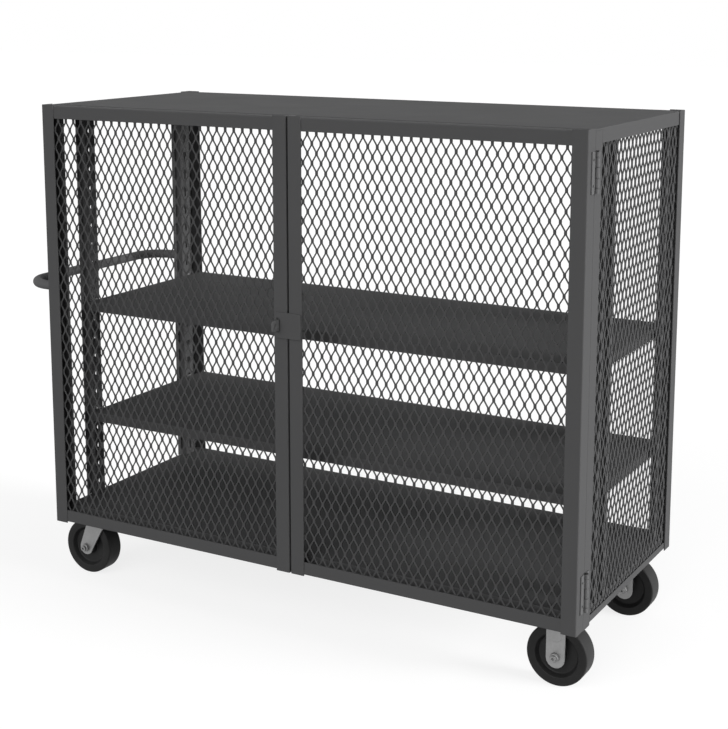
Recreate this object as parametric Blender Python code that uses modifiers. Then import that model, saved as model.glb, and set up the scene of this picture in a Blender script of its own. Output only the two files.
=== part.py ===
"""Mesh shelf trolley: a steel cabinet with a punched-mesh end and two mesh doors, on four casters.

The body is drawn with X to the right, Y to the back and Z up, from the front left
bottom corner of the doors. A root empty then carries that corner so that the world
origin lies on the floor at the centre of the whole trolley. Units are metres.
"""

import math

import bmesh
import bpy
from mathutils import Matrix, Vector

MM = 0.001

# Overall sizes
WIDTH = 1524 * MM
HEIGHT = 1143 * MM
DEPTH = 650 * MM
WHEEL_TO_DOOR = 21.6 * MM
GAP = 0.3 * MM
OVERRUN = 10 * MM

# Sheet and angle steel
ANGLE_T = 2.7 * MM
ANGLE_BEND = 3.0 * MM
BEND_STEPS = 3
PAN_T = 1.9 * MM
PAN_BEND = 2.4 * MM

# Doors
STILE_FACE = 38 * MM
DOOR_DEPTH = 40 * MM
DOOR_GAP = 3.8 * MM
RAIL_FACE = 33 * MM
RAIL_LEG = 32 * MM
RAIL_INSET = 2.5 * MM
DOOR_SEAM = 1.0 * MM
WELD_SINK = 0.3 * MM

# Mesh panels, drawn as one large diamond for several real ones
NET_T = 2.4 * MM
NET_STRAND = 7.5 * MM
NET_PITCH_X = 98 * MM
NET_PITCH_Z = 178 * MM
NET_SLIVER = 12 * MM

# Corner posts
POST_SIDE = 41 * MM
POST_FRONT = 32 * MM
POST_DROP = 2.0 * MM
REAR_POST_LEG = 39 * MM
REAR_POST_RISE = 2.0 * MM

# Roof and deck
ROOF_DROP = 1.5 * MM
ROOF_LIP = 33 * MM
DECK_TOP = 37 * MM
DECK_LIP = 32 * MM
SILL_FACE = 16 * MM

# Shelf uprights and their keyholes
UPRIGHT_T = 2.0 * MM
UPRIGHT_SPAN = 71 * MM
UPRIGHT_LIP = 15 * MM
UPRIGHT_DEPTH = 20.5 * MM
UPRIGHT_BEND = 3.0 * MM
UPRIGHT_FROM_DOOR = 82.5 * MM
UPRIGHT_FROM_BACK = 101.5 * MM
HOLE_PITCH = 52 * MM
HOLE_R = 9.0 * MM
HOLE_SLOT = 8.0 * MM
HOLE_DROP = 21.5 * MM
LOWEST_HOLE = 75 * MM
HOLE_MARGIN = 35 * MM
HOLE_STEPS = 5

# Shelves and their clips
SHELF_T = 1.5 * MM
SHELF_BEND = 2.2 * MM
SHELF_LIP = 25.4 * MM
SHELF_FROM_DOOR = 81 * MM
SHELF_BACK_GAP = 2.0 * MM
SHELF_END_GAP = 5.0 * MM
SHELF_ABOVE_HOLE = 1 * MM
LOWER_SHELF_ROW = 4
UPPER_SHELF_ROW = 10
CLIP_T = 2.0 * MM
CLIP_WIDTH = 20 * MM
CLIP_DEPTH = 20 * MM
CLIP_RISE = 3 * MM
STUD_R = 3.4 * MM
STUD_LENGTH = 6 * MM
STUD_STEPS = 8

# Door hinges
HINGE_HEIGHT = 92 * MM
TOP_HINGE_DROP = 49 * MM
BOTTOM_HINGE_RISE = 46 * MM
KNUCKLE_R = 5.5 * MM
PIN_R = 2.6 * MM
PIN_CLEARANCE = 0.5 * MM
PIN_HEAD_R = 4.2 * MM
PIN_HEAD_T = 1.6 * MM
LEAF_T = 2.5 * MM
LEAF_REACH = 23 * MM
KNUCKLE_GAP = 1.2 * MM
KNUCKLE_SHARES = (0.13, 0.24, 0.26, 0.24, 0.13)
KNUCKLE_STEPS = 12
BORE_STEPS = 8
LEAF_SLACK = 1.0 * MM
LEAF_HOLE_R = 3.2 * MM
LEAF_HOLE_SHARES = (0.19, 0.81)

# Hasp plate and padlock staple
HASP_HEIGHT = 64 * MM
HASP_T = 3.0 * MM
HASP_Z = 633 * MM
HASP_CORNER = 2.0 * MM
HASP_INSET = 1.5 * MM
SLOT_FROM_EDGE = 5.5 * MM
SLOT_WIDTH = 10 * MM
SLOT_HEIGHT = 37 * MM
STAPLE_T = 3.0 * MM
STAPLE_HEIGHT = 27 * MM
STAPLE_REACH = 33 * MM
STAPLE_CORNER = 6 * MM
STAPLE_HOLE_R = 5.0 * MM
STAPLE_HOLE_OUT = 19 * MM
STAPLE_FROM_GAP = 23.7 * MM

# Push handle
TUBE_R = 12.7 * MM
HANDLE_OUT = 140 * MM
HANDLE_BEND = 78 * MM
HANDLE_Z = 644 * MM
HANDLE_FROM_DOOR = 25 * MM
HANDLE_BEND_STEPS = 7
TUBE_RESOLUTION = 4

# Caster channels under the deck
CHANNEL_T = 3.0 * MM
CHANNEL_WIDTH = 118 * MM
CHANNEL_BOTTOM = 16.5 * MM
CASTER_FROM_END = 82 * MM
CASTER_FROM_DOOR = 73.3 * MM
CASTER_FROM_BACK = 72 * MM

# Caster plates
PLATE_X = 114 * MM
PLATE_Y = 102 * MM
PLATE_T = 5.0 * MM
PLATE_CORNER = 8 * MM
CORNER_STEPS = 2

# Swivel heads
SWIVEL_LEAD = 49 * MM
RACE_R = 38 * MM
RACE_T = 4.5 * MM
CROWN_R = 42 * MM
CROWN_T = 5.0 * MM
KINGPIN_R = 6.0 * MM
KINGPIN_CLEARANCE = 0.4 * MM
KINGPIN_NUT_R = 10.5 * MM
KINGPIN_NUT_T = 7.5 * MM
HEAD_STEPS = 24

# Fork legs, wheels and axles
LEG_T = 5.0 * MM
LEG_CLEARANCE = 3.0 * MM
LEG_END_R = 21 * MM
LEG_TOP_WIDTH = 66 * MM
RIGID_LEG_WIDTH = 47 * MM
RIGID_LEG_PAST = 5 * MM
LEG_END_STEPS = 8
PAD_T = 1.2 * MM
PAD_WIDTH = 33 * MM
PAD_DROP = 72 * MM
WHEEL_R = 76.2 * MM
WHEEL_WIDTH = 50.8 * MM
TREAD_FILLET = 4.0 * MM
FILLET_STEPS = 2
RIM_INNER_R = 54 * MM
RECESS_SLOPE = 4.0 * MM
RECESS_DEPTH = 9.0 * MM
HUB_R = 22 * MM
HUB_PROUD = 1.5 * MM
WHEEL_STEPS = 32
AXLE_R = 6.3 * MM
AXLE_CLEARANCE = 0.4 * MM
AXLE_HEAD_R = 11 * MM
AXLE_HEAD_T = 9 * MM
AXLE_END_R = 7.5 * MM
AXLE_END_T = 6 * MM
AXLE_RECESS_R = 3.2 * MM
AXLE_RECESS_DEPTH = 4 * MM
AXLE_STEPS = 12

# Finishes: colour, roughness, metallic
GREY_COAT = ("grey_powder_coat", (0.105, 0.105, 0.107), 0.55, 0.0)
ZINC = ("zinc_plate", (0.33, 0.34, 0.35), 0.38, 0.85)
PHENOLIC = ("black_phenolic", (0.022, 0.022, 0.023), 0.6, 0.0)

# Places worked out from the sizes above
ROOF_TOP = HEIGHT - ROOF_DROP
GROUND = 2 * WHEEL_R + WHEEL_TO_DOOR
BODY_FRONT = DOOR_DEPTH + DOOR_SEAM
FRONT_UPRIGHT_Y = BODY_FRONT + UPRIGHT_FROM_DOOR
REAR_UPRIGHT_Y = DEPTH - UPRIGHT_FROM_BACK
SHELF_FRONT_Y = BODY_FRONT + SHELF_FROM_DOOR
HANDLE_FRONT_Y = BODY_FRONT + HANDLE_FROM_DOOR
PAN_BACK = DEPTH - ANGLE_T - GAP
AXIS_OUT = GAP + KNUCKLE_R
AXIS_Y = DOOR_DEPTH + DOOR_SEAM / 2
SKIN_INSET = ANGLE_T + GAP + NET_T + GAP
AXLE_Z = WHEEL_R - GROUND
LEG_INNER = WHEEL_WIDTH / 2 + LEG_CLEARANCE
LEG_OUTER = LEG_INNER + LEG_T
CASTER_YS = (BODY_FRONT + CASTER_FROM_DOOR, DEPTH - CASTER_FROM_BACK)
PLATE_TOP = CHANNEL_BOTTOM - GAP
PLATE_BOTTOM = PLATE_TOP - PLATE_T
RACE_BOTTOM = PLATE_BOTTOM - RACE_T
CROWN_TOP = RACE_BOTTOM - GAP
CROWN_BOTTOM = CROWN_TOP - CROWN_T

ALONG_Z = Matrix.Identity(4)
ALONG_X = Matrix(((0, 0, 1, 0), (1, 0, 0, 0), (0, 1, 0, 0), (0, 0, 0, 1)))
ALONG_Y = Matrix(((1, 0, 0, 0), (0, 0, -1, 0), (0, 1, 0, 0), (0, 0, 0, 1)))


# Scene

def clear_scene():
    """Remove what the opened file holds."""
    for item in list(bpy.data.objects):
        bpy.data.objects.remove(item, do_unlink=True)


def new_collection(name):
    """A collection under the scene's own."""
    collection = bpy.data.collections.new(name)
    bpy.context.scene.collection.children.link(collection)
    return collection


def finish(spec):
    """The material that a finish describes, made once."""
    name, colour, roughness, metallic = spec
    material = bpy.data.materials.get(name)
    if material:
        return material
    material = bpy.data.materials.new(name)
    material.use_nodes = True
    shader = material.node_tree.nodes["Principled BSDF"]
    shader.inputs["Base Color"].default_value = (*colour, 1.0)
    shader.inputs["Roughness"].default_value = roughness
    shader.inputs["Metallic"].default_value = metallic
    return material


def pivot(name, place, parent):
    """An empty on a joint's axis, at a place in the body's own coordinates."""
    empty = bpy.data.objects.new(name, None)
    PARTS.objects.link(empty)
    empty.parent = parent
    empty.location = Vector(place) - pivot_place(parent)
    return empty


def pivot_place(empty):
    """Where a pivot lies in the body's coordinates."""
    place = Vector((0, 0, 0))
    while empty is not None and empty is not ROOT:
        place += empty.location
        empty = empty.parent
    return place


def add_part(name, mesh, spec, parent=None):
    """A named piece whose mesh is drawn in the body's coordinates."""
    item = bpy.data.objects.new(name, mesh)
    mesh.name = name
    PARTS.objects.link(item)
    item.parent = parent or ROOT
    item.location = -pivot_place(item.parent)
    mesh.materials.clear()
    mesh.materials.append(finish(spec))
    mesh.shade_smooth()
    mesh.set_sharp_from_angle(angle=math.radians(SMOOTH_DEGREES))
    return item


def add_operand(name, mesh, like):
    """A hidden shape that a Boolean uses, placed like the piece that it works on."""
    item = bpy.data.objects.new(name, mesh)
    CUTTERS.objects.link(item)
    item.parent = like.parent
    item.location = like.location
    item.hide_render = True
    item.display_type = "WIRE"
    return item


def boolean(item, mesh, operation="DIFFERENCE"):
    """Cut a mesh out of a piece, or join it on."""
    modifier = item.modifiers.new(operation.lower(), "BOOLEAN")
    modifier.operation = operation
    modifier.object = add_operand(f"{item.name}_{operation.lower()}", mesh, item)
    return item


SMOOTH_DEGREES = 35


# Outlines and solids

def arc(centre_u, centre_v, radius, start, stop, steps):
    """Points on an arc, in degrees, both ends included."""
    points = []
    for index in range(steps + 1):
        angle = math.radians(start + (stop - start) * index / steps)
        points.append((centre_u + radius * math.cos(angle), centre_v + radius * math.sin(angle)))
    return points


def rounded(width, height, radius, steps, centre=(0, 0)):
    """A rectangle with round corners about a centre."""
    inner_u = width / 2 - radius
    inner_v = height / 2 - radius
    points = []
    for sign_u, sign_v, start in ((1, 1, 0), (-1, 1, 90), (-1, -1, 180), (1, -1, 270)):
        corner_u = centre[0] + sign_u * inner_u
        corner_v = centre[1] + sign_v * inner_v
        points += arc(corner_u, corner_v, radius, start, start + 90, steps)
    return points


def prism(outlines, low, high, axis):
    """A flat outline, with any holes, drawn out from low to high along an axis."""
    curve = bpy.data.curves.new("outline", "CURVE")
    curve.dimensions = "2D"
    curve.fill_mode = "BOTH"
    curve.extrude = abs(high - low) / 2
    for outline in outlines:
        spline = curve.splines.new("POLY")
        spline.points.add(len(outline) - 1)
        for point, (place_u, place_v) in zip(spline.points, outline):
            point.co = (place_u, place_v, 0, 1)
        spline.use_cyclic_u = True
    mesh = curve_to_mesh(curve)
    direction = -1 if axis is ALONG_Y else 1
    mesh.transform(Matrix.Translation((0, 0, direction * (low + high) / 2)))
    mesh.transform(axis)
    return mesh


def curve_to_mesh(curve):
    """The mesh that a curve fills, with its caps welded on."""
    guide = bpy.data.objects.new("guide", curve)
    CUTTERS.objects.link(guide)
    graph = bpy.context.evaluated_depsgraph_get()
    mesh = bpy.data.meshes.new_from_object(guide.evaluated_get(graph))
    bpy.data.objects.remove(guide)
    work = bmesh.new()
    work.from_mesh(mesh)
    bmesh.ops.remove_doubles(work, verts=work.verts, dist=WELD)
    bmesh.ops.recalc_face_normals(work, faces=work.faces)
    work.to_mesh(mesh)
    work.free()
    return mesh


WELD = 0.01 * MM


def block(low, high):
    """A box between two corners."""
    work = bmesh.new()
    bmesh.ops.create_cube(work, size=1)
    size = Vector(high) - Vector(low)
    middle = (Vector(high) + Vector(low)) / 2
    bmesh.ops.scale(work, vec=size, verts=work.verts)
    bmesh.ops.translate(work, vec=middle, verts=work.verts)
    return to_mesh(work)


def cylinder(radius, low, high, steps, axis=ALONG_Z, middle=(0, 0, 0)):
    """A round bar along an axis, moved to its middle line."""
    work = bmesh.new()
    bmesh.ops.create_cone(
        work, cap_ends=True, segments=steps, radius1=radius, radius2=radius, depth=high - low)
    bmesh.ops.translate(work, vec=(0, 0, (low + high) / 2), verts=work.verts)
    bmesh.ops.transform(work, matrix=Matrix.Translation(middle) @ axis, verts=work.verts)
    return to_mesh(work)


def to_mesh(work):
    """Hand a bmesh over as mesh data."""
    mesh = bpy.data.meshes.new("solid")
    work.to_mesh(mesh)
    work.free()
    return mesh


def gathered(meshes):
    """Several separate solids in one mesh."""
    work = bmesh.new()
    for mesh in meshes:
        work.from_mesh(mesh)
    return to_mesh(work)


def other_side(mesh):
    """The same piece for the right-hand end."""
    work = bmesh.new()
    work.from_mesh(mesh)
    for vert in work.verts:
        vert.co.x = WIDTH - vert.co.x
    bmesh.ops.reverse_faces(work, faces=work.faces)
    return to_mesh(work)


def side_pair(mesh, right):
    """A left-hand mesh, mirrored when it is for the right."""
    return other_side(mesh) if right else mesh


def turned(name, profile, steps, spec, parent, place, axis=ALONG_Z):
    """A shape turned about an axis: the profile runs down its outer side as (radius, height)."""
    mesh = bpy.data.meshes.new(name)
    points = [(radius, 0, height) for radius, height in profile]
    edges = [(index, index + 1) for index in range(len(profile) - 1)]
    if profile[0][0] > 0:
        edges.append((len(profile) - 1, 0))
    mesh.from_pydata(points, edges, [])
    item = bpy.data.objects.new(name, mesh)
    PARTS.objects.link(item)
    item.parent = parent
    item.location = Vector(place) - pivot_place(parent)
    item.rotation_euler = axis.to_euler()
    mesh.materials.append(finish(spec))
    screw = item.modifiers.new("turn", "SCREW")
    screw.steps = steps
    screw.render_steps = steps
    screw.use_merge_vertices = True
    screw.merge_threshold = WELD
    screw.use_smooth_shade = True
    return item


def angle_outline(leg_u, leg_v, thickness):
    """An angle section: its round outer corner lies at the origin, one leg along each axis."""
    outline = [(leg_u, 0), (leg_u, thickness), (thickness, thickness), (thickness, leg_v), (0, leg_v)]
    return outline + arc(ANGLE_BEND, ANGLE_BEND, ANGLE_BEND, 180, 270, BEND_STEPS)


def placed(outline, move_u, move_v, flip_u=1, flip_v=1):
    """An outline flipped and moved within its plane."""
    points = [(move_u + flip_u * u, move_v + flip_v * v) for u, v in outline]
    return points


# Cabinet body

def make_posts():
    """Four corner angles: the front pair stand flush with the skins, the rear pair wrap them."""
    front_top = ROOF_TOP - PAN_BEND - PAN_T - GAP
    front = prism(
        [placed(angle_outline(POST_FRONT, POST_SIDE, ANGLE_T), 0, BODY_FRONT)],
        -POST_DROP, front_top, ALONG_Z)
    rear_out = ANGLE_T + GAP
    rear = prism(
        [placed(angle_outline(REAR_POST_LEG, REAR_POST_LEG, ANGLE_T), -rear_out, DEPTH, 1, -1)],
        0, ROOF_TOP + REAR_POST_RISE, ALONG_Z)
    for side, right in (("left", False), ("right", True)):
        add_part(f"front_{side}_post", side_pair(front.copy(), right), GREY_COAT)
        add_part(f"rear_{side}_post", side_pair(rear.copy(), right), GREY_COAT)


def pan(name, low, high, thickness, bend):
    """A sheet tray, open below: a bent skin with lips hanging from its four edges."""
    work = bmesh.new()
    bmesh.ops.create_cube(work, size=1)
    bmesh.ops.scale(work, vec=Vector(high) - Vector(low), verts=work.verts)
    bmesh.ops.translate(work, vec=(Vector(high) + Vector(low)) / 2, verts=work.verts)
    underside = [face for face in work.faces if face.normal.z < 0]
    underside = [face for face in underside if abs(face.normal.z) > abs(face.normal.x)]
    bmesh.ops.delete(work, geom=underside, context="FACES_ONLY")
    item = add_part(name, to_mesh(work), GREY_COAT)
    bevel = item.modifiers.new("bend", "BEVEL")
    bevel.width = bend
    bevel.segments = BEND_STEPS
    shell = item.modifiers.new("sheet", "SOLIDIFY")
    shell.thickness = thickness
    shell.offset = -1
    shell.use_even_offset = True
    return item


def make_roof():
    """The roof tray: its lips stop at the front posts."""
    roof = pan(
        "roof_pan", (0, BODY_FRONT, ROOF_TOP - ROOF_LIP), (WIDTH, PAN_BACK, ROOF_TOP),
        PAN_T, PAN_BEND)
    notch_top = ROOF_TOP - PAN_BEND - PAN_T
    below = ROOF_TOP - ROOF_LIP - OVERRUN
    post_back = BODY_FRONT + POST_SIDE + GAP
    front_notch = block(
        (-OVERRUN, BODY_FRONT - OVERRUN, below),
        (POST_FRONT + GAP, BODY_FRONT + ANGLE_T + GAP, notch_top))
    side_notch = block(
        (-OVERRUN, BODY_FRONT - OVERRUN, below), (ANGLE_T + GAP, post_back, notch_top))
    for cutter in (front_notch, side_notch):
        boolean(roof, cutter)
        boolean(roof, other_side(cutter))


def make_deck():
    """The bottom deck: a tray between the posts, inside the mesh."""
    deck = pan(
        "bottom_deck", (SKIN_INSET, BODY_FRONT, DECK_TOP - DECK_LIP),
        (WIDTH - SKIN_INSET, PAN_BACK, DECK_TOP), PAN_T, PAN_BEND)
    notch = block(
        (-OVERRUN, BODY_FRONT - OVERRUN, -OVERRUN),
        (POST_FRONT + GAP, BODY_FRONT + ANGLE_T + GAP, DECK_TOP + OVERRUN))
    boolean(deck, notch)
    boolean(deck, other_side(notch))


def make_side_sill():
    """The flat strip that closes the foot of the mesh end."""
    low_z = DECK_TOP - DECK_LIP
    front = BODY_FRONT + POST_SIDE + GAP
    sill = block((0, front, low_z), (ANGLE_T, PAN_BACK, low_z + SILL_FACE))
    add_part("right_side_sill", other_side(sill), GREY_COAT)


def make_channels():
    """Two channels across the underside of the deck, which the casters are bolted to."""
    half = CHANNEL_WIDTH / 2
    top = DECK_TOP - PAN_T - GAP
    outline = [
        (-half, CHANNEL_BOTTOM), (half, CHANNEL_BOTTOM), (half, top), (half - CHANNEL_T, top),
        (half - CHANNEL_T, CHANNEL_BOTTOM + CHANNEL_T),
        (CHANNEL_T - half, CHANNEL_BOTTOM + CHANNEL_T), (CHANNEL_T - half, top), (-half, top)]
    front = BODY_FRONT + PAN_T + ANGLE_T + 2 * GAP
    back = PAN_BACK - PAN_T - GAP
    for side, right in (("left", False), ("right", True)):
        mesh = prism([placed(outline, CASTER_FROM_END, 0)], front, back, ALONG_Y)
        add_part(f"{side}_caster_channel", side_pair(mesh, right), GREY_COAT)


# Mesh panels

def clip_to(polygon, low, high, index):
    """Keep the part of a convex polygon between two limits of one coordinate."""
    for limit, sign in ((low, 1), (high, -1)):
        kept = []
        for start, end in zip(polygon, polygon[1:] + polygon[:1]):
            start_in = sign * (start[index] - limit) >= 0
            end_in = sign * (end[index] - limit) >= 0
            if start_in:
                kept.append(start)
            if start_in != end_in:
                share = (limit - start[index]) / (end[index] - start[index])
                kept.append(tuple(a + (b - a) * share for a, b in zip(start, end)))
        polygon = kept
        if not polygon:
            return []
    return polygon


def net_gaps(window):
    """The openings of a mesh inside a window: diamonds in staggered columns, cut at its edge."""
    low_u, low_v, high_u, high_v = window
    columns = max(1, round((high_u - low_u) / NET_PITCH_X))
    rows = max(1, round((high_v - low_v) / NET_PITCH_Z))
    pitch_u = (high_u - low_u) / columns
    pitch_v = (high_v - low_v) / rows
    diagonal = math.hypot(pitch_u, pitch_v)
    inset = 1 - NET_STRAND * diagonal / (pitch_u * pitch_v)
    half_u = inset * pitch_u / 2
    half_v = inset * pitch_v / 2
    shape = [(half_u, 0), (0, half_v), (-half_u, 0), (0, -half_v)]
    gaps = []
    for step_u in range(2 * columns + 1):
        for step_v in range(2 * rows + 1):
            if (step_u + step_v) % 2 == 0:
                continue
            centre_u = low_u + step_u * pitch_u / 2
            centre_v = low_v + step_v * pitch_v / 2
            gap = [(centre_u + u, centre_v + v) for u, v in shape]
            gap = clip_to(gap, low_u, high_u, 0)
            gap = clip_to(gap, low_v, high_v, 1) if gap else []
            if len(gap) > 2 and min(spans(gap)) > NET_SLIVER:
                gaps.append(gap)
    return gaps


def spans(points):
    """Width and height of a polygon."""
    return [max(p[i] for p in points) - min(p[i] for p in points) for i in (0, 1)]


def net(frame, window, low, high, axis):
    """A mesh sheet: its edge lies behind the frame, its gaps fill the window."""
    low_u, low_v, high_u, high_v = frame
    edge = [(low_u, low_v), (high_u, low_v), (high_u, high_v), (low_u, high_v)]
    return prism([edge] + net_gaps(window), low, high, axis)


def make_side_mesh():
    """The mesh of the right end, behind the posts and the lip of the roof."""
    low_x = WIDTH - ANGLE_T - GAP - NET_T
    foot = DECK_TOP - DECK_LIP
    front = BODY_FRONT + ANGLE_T + GAP
    frame = (front, foot, PAN_BACK - PAN_T - GAP, ROOF_TOP - PAN_BEND - PAN_T - GAP)
    window = (
        BODY_FRONT + POST_SIDE, foot + SILL_FACE, DEPTH - REAR_POST_LEG, ROOF_TOP - ROOF_LIP)
    mesh = net(frame, window, low_x, low_x + NET_T, ALONG_X)
    add_part("right_side_mesh", mesh, GREY_COAT)


# Shelf uprights, shelves and clips

def keyhole():
    """A round hole with a slot below it, about the hole's centre."""
    half = HOLE_SLOT / 2
    start = -math.degrees(math.acos(half / HOLE_R))
    outline = arc(0, 0, HOLE_R, start, 180 - start, HOLE_STEPS)
    return outline + [(-half, -HOLE_DROP), (half, -HOLE_DROP)]


def hat_outline(low_y):
    """A hat section: two lips against the cabinet's end and a web that faces the shelves."""
    high_y = low_y + UPRIGHT_SPAN
    front, back = low_y + UPRIGHT_LIP, high_y - UPRIGHT_LIP
    skin, web = SKIN_INSET, SKIN_INSET + UPRIGHT_DEPTH
    outer = [(skin, low_y), (skin + UPRIGHT_T, low_y), (skin + UPRIGHT_T, front)]
    outer += arc(web - UPRIGHT_BEND, front + UPRIGHT_BEND, UPRIGHT_BEND, 270, 360, BEND_STEPS)
    outer += arc(web - UPRIGHT_BEND, back - UPRIGHT_BEND, UPRIGHT_BEND, 0, 90, BEND_STEPS)
    outer += [(skin + UPRIGHT_T, back), (skin + UPRIGHT_T, high_y), (skin, high_y)]
    inner = [
        (skin, back - UPRIGHT_T), (web - UPRIGHT_T, back - UPRIGHT_T),
        (web - UPRIGHT_T, front + UPRIGHT_T), (skin, front + UPRIGHT_T)]
    return outer + inner


def make_uprights():
    """Four punched hat sections that carry the shelves, each with a column of keyholes."""
    low_z = DECK_TOP + GAP
    high_z = ROOF_TOP - PAN_T - GAP
    web = SKIN_INSET + UPRIGHT_DEPTH
    for place, low_y in (("front", FRONT_UPRIGHT_Y), ("rear", REAR_UPRIGHT_Y)):
        hat = prism([hat_outline(low_y)], low_z, high_z, ALONG_Z)
        cutters = []
        rows = int((high_z - HOLE_MARGIN - LOWEST_HOLE) / HOLE_PITCH) + 1
        for row in range(rows):
            hole = placed(keyhole(), low_y + UPRIGHT_SPAN / 2, LOWEST_HOLE + row * HOLE_PITCH)
            cutters.append(prism([hole], web - 2 * UPRIGHT_T, web + UPRIGHT_T, ALONG_X))
        column = gathered(cutters)
        for side, right in (("left", False), ("right", True)):
            item = add_part(f"{side}_{place}_upright", side_pair(hat.copy(), right), GREY_COAT)
            boolean(item, side_pair(column.copy(), right))


def shelf_top(row):
    """The height of a shelf that hangs from one row of keyholes."""
    return LOWEST_HOLE + row * HOLE_PITCH + SHELF_ABOVE_HOLE


def make_shelves():
    """Two shelf trays between the uprights."""
    end = SKIN_INSET + UPRIGHT_DEPTH + SHELF_END_GAP
    for name, row in (("lower_shelf", LOWER_SHELF_ROW), ("upper_shelf", UPPER_SHELF_ROW)):
        top = shelf_top(row)
        pan(name, (end, SHELF_FRONT_Y, top - SHELF_LIP),
            (WIDTH - end, PAN_BACK - SHELF_BACK_GAP, top), SHELF_T, SHELF_BEND)


def clip_meshes(row, low_y):
    """One clip: a bracket on the upright's web that reaches under the shelf, and its stud."""
    ledge_top = shelf_top(row) - SHELF_LIP - GAP
    ledge_low = ledge_top - CLIP_T
    near = SKIN_INSET + UPRIGHT_DEPTH + GAP
    far = near + CLIP_DEPTH
    hole_z = LOWEST_HOLE + row * HOLE_PITCH
    middle_y = low_y + UPRIGHT_SPAN / 2
    section = [
        (near, ledge_low), (far, ledge_low), (far, ledge_top), (near + CLIP_T, ledge_top),
        (near + CLIP_T, hole_z + CLIP_RISE), (near, hole_z + CLIP_RISE)]
    bracket = prism([section], middle_y - CLIP_WIDTH / 2, middle_y + CLIP_WIDTH / 2, ALONG_Y)
    stud_z = hole_z - HOLE_DROP + STUD_R + GAP
    stud = cylinder(
        STUD_R, near - STUD_LENGTH, near + CLIP_T / 2, STUD_STEPS, ALONG_X, (0, middle_y, stud_z))
    return bracket, stud


def make_clips():
    """Four clips under each shelf, one on each upright."""
    for shelf, row in (("lower", LOWER_SHELF_ROW), ("upper", UPPER_SHELF_ROW)):
        for place, low_y in (("front", FRONT_UPRIGHT_Y), ("rear", REAR_UPRIGHT_Y)):
            for side, right in (("left", False), ("right", True)):
                bracket, stud = clip_meshes(row, low_y)
                clip = add_part(
                    f"{shelf}_shelf_clip_{place}_{side}", side_pair(bracket, right), ZINC)
                boolean(clip, side_pair(stud, right), "UNION")


# Doors

def door_width():
    """Width of one door, from its hinge edge to the gap between the doors."""
    return (WIDTH - DOOR_GAP) / 2


def make_door(side, right, hinge):
    """One door: a welded frame of two stiles with two rails set in behind them, and its mesh."""
    width = door_width()
    hinge_stile = prism(
        [angle_outline(STILE_FACE, DOOR_DEPTH, ANGLE_T)], 0, HEIGHT, ALONG_Z)
    centre_stile = prism(
        [placed(angle_outline(STILE_FACE, STILE_FACE, ANGLE_T), width, 0, -1, 1)],
        0, HEIGHT, ALONG_Z)
    rail_low = ANGLE_T - WELD_SINK
    rail_high = width - rail_low
    rail = angle_outline(RAIL_LEG, RAIL_FACE, ANGLE_T)
    top = HEIGHT - RAIL_INSET
    bottom_rail = prism([placed(rail, rail_low, RAIL_INSET)], rail_low, rail_high, ALONG_X)
    top_rail = prism([placed(rail, rail_low, top, 1, -1)], rail_low, rail_high, ALONG_X)
    welded = add_part(f"{side}_door_frame", side_pair(hinge_stile, right), GREY_COAT, hinge)
    boolean(welded, side_pair(gathered([bottom_rail, top_rail]), right), "UNION")
    boolean(welded, side_pair(centre_stile, right), "UNION")
    net_y = rail_low + ANGLE_T + GAP
    inner = ANGLE_T + GAP
    frame = (inner, RAIL_INSET + inner, width - inner, top - inner)
    window = (STILE_FACE, RAIL_INSET + RAIL_FACE, width - STILE_FACE, top - RAIL_FACE)
    sheet = net(frame, window, net_y, net_y + NET_T, ALONG_Y)
    add_part(f"{side}_door_mesh", side_pair(sheet, right), GREY_COAT, hinge)


def knuckle_spans(low_z):
    """The height of each knuckle of one hinge, from the bottom."""
    heights = []
    for share in KNUCKLE_SHARES:
        height = share * HINGE_HEIGHT
        heights.append((low_z + KNUCKLE_GAP / 2, low_z + height - KNUCKLE_GAP / 2))
        low_z += height
    return heights


def make_leaf(name, low_z, direction, first, right, parent):
    """A hinge leaf: a plate with screw holes, a tail to each knuckle and the bore for the pin."""
    near = AXIS_Y + direction * (KNUCKLE_R + LEAF_SLACK)
    far = AXIS_Y + direction * LEAF_REACH
    top_z = low_z + HINGE_HEIGHT
    outer_x = -GAP - LEAF_T
    plate = block((outer_x, min(near, far), low_z), (-GAP, max(near, far), top_z))
    tails, barrels = [], []
    edge = near + direction * LEAF_SLACK
    for low, high in knuckle_spans(low_z)[first::2]:
        tails.append(block((outer_x, min(edge, AXIS_Y), low), (-GAP, max(edge, AXIS_Y), high)))
        barrels.append(
            cylinder(KNUCKLE_R, low, high, KNUCKLE_STEPS, middle=(-AXIS_OUT, AXIS_Y, 0)))
    bore = cylinder(
        PIN_R + PIN_CLEARANCE, low_z - OVERRUN, top_z + OVERRUN, BORE_STEPS,
        middle=(-AXIS_OUT, AXIS_Y, 0))
    leaf = add_part(name, side_pair(plate, right), GREY_COAT, parent)
    boolean(leaf, side_pair(gathered(tails), right), "UNION")
    boolean(leaf, side_pair(gathered(barrels), right), "UNION")
    boolean(leaf, side_pair(bore, right))
    holes = [
        cylinder(
            LEAF_HOLE_R, outer_x - GAP, 0, BORE_STEPS, ALONG_X,
            (0, (near + far) / 2, low_z + share * HINGE_HEIGHT))
        for share in LEAF_HOLE_SHARES]
    boolean(leaf, side_pair(gathered(holes), right))


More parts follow.
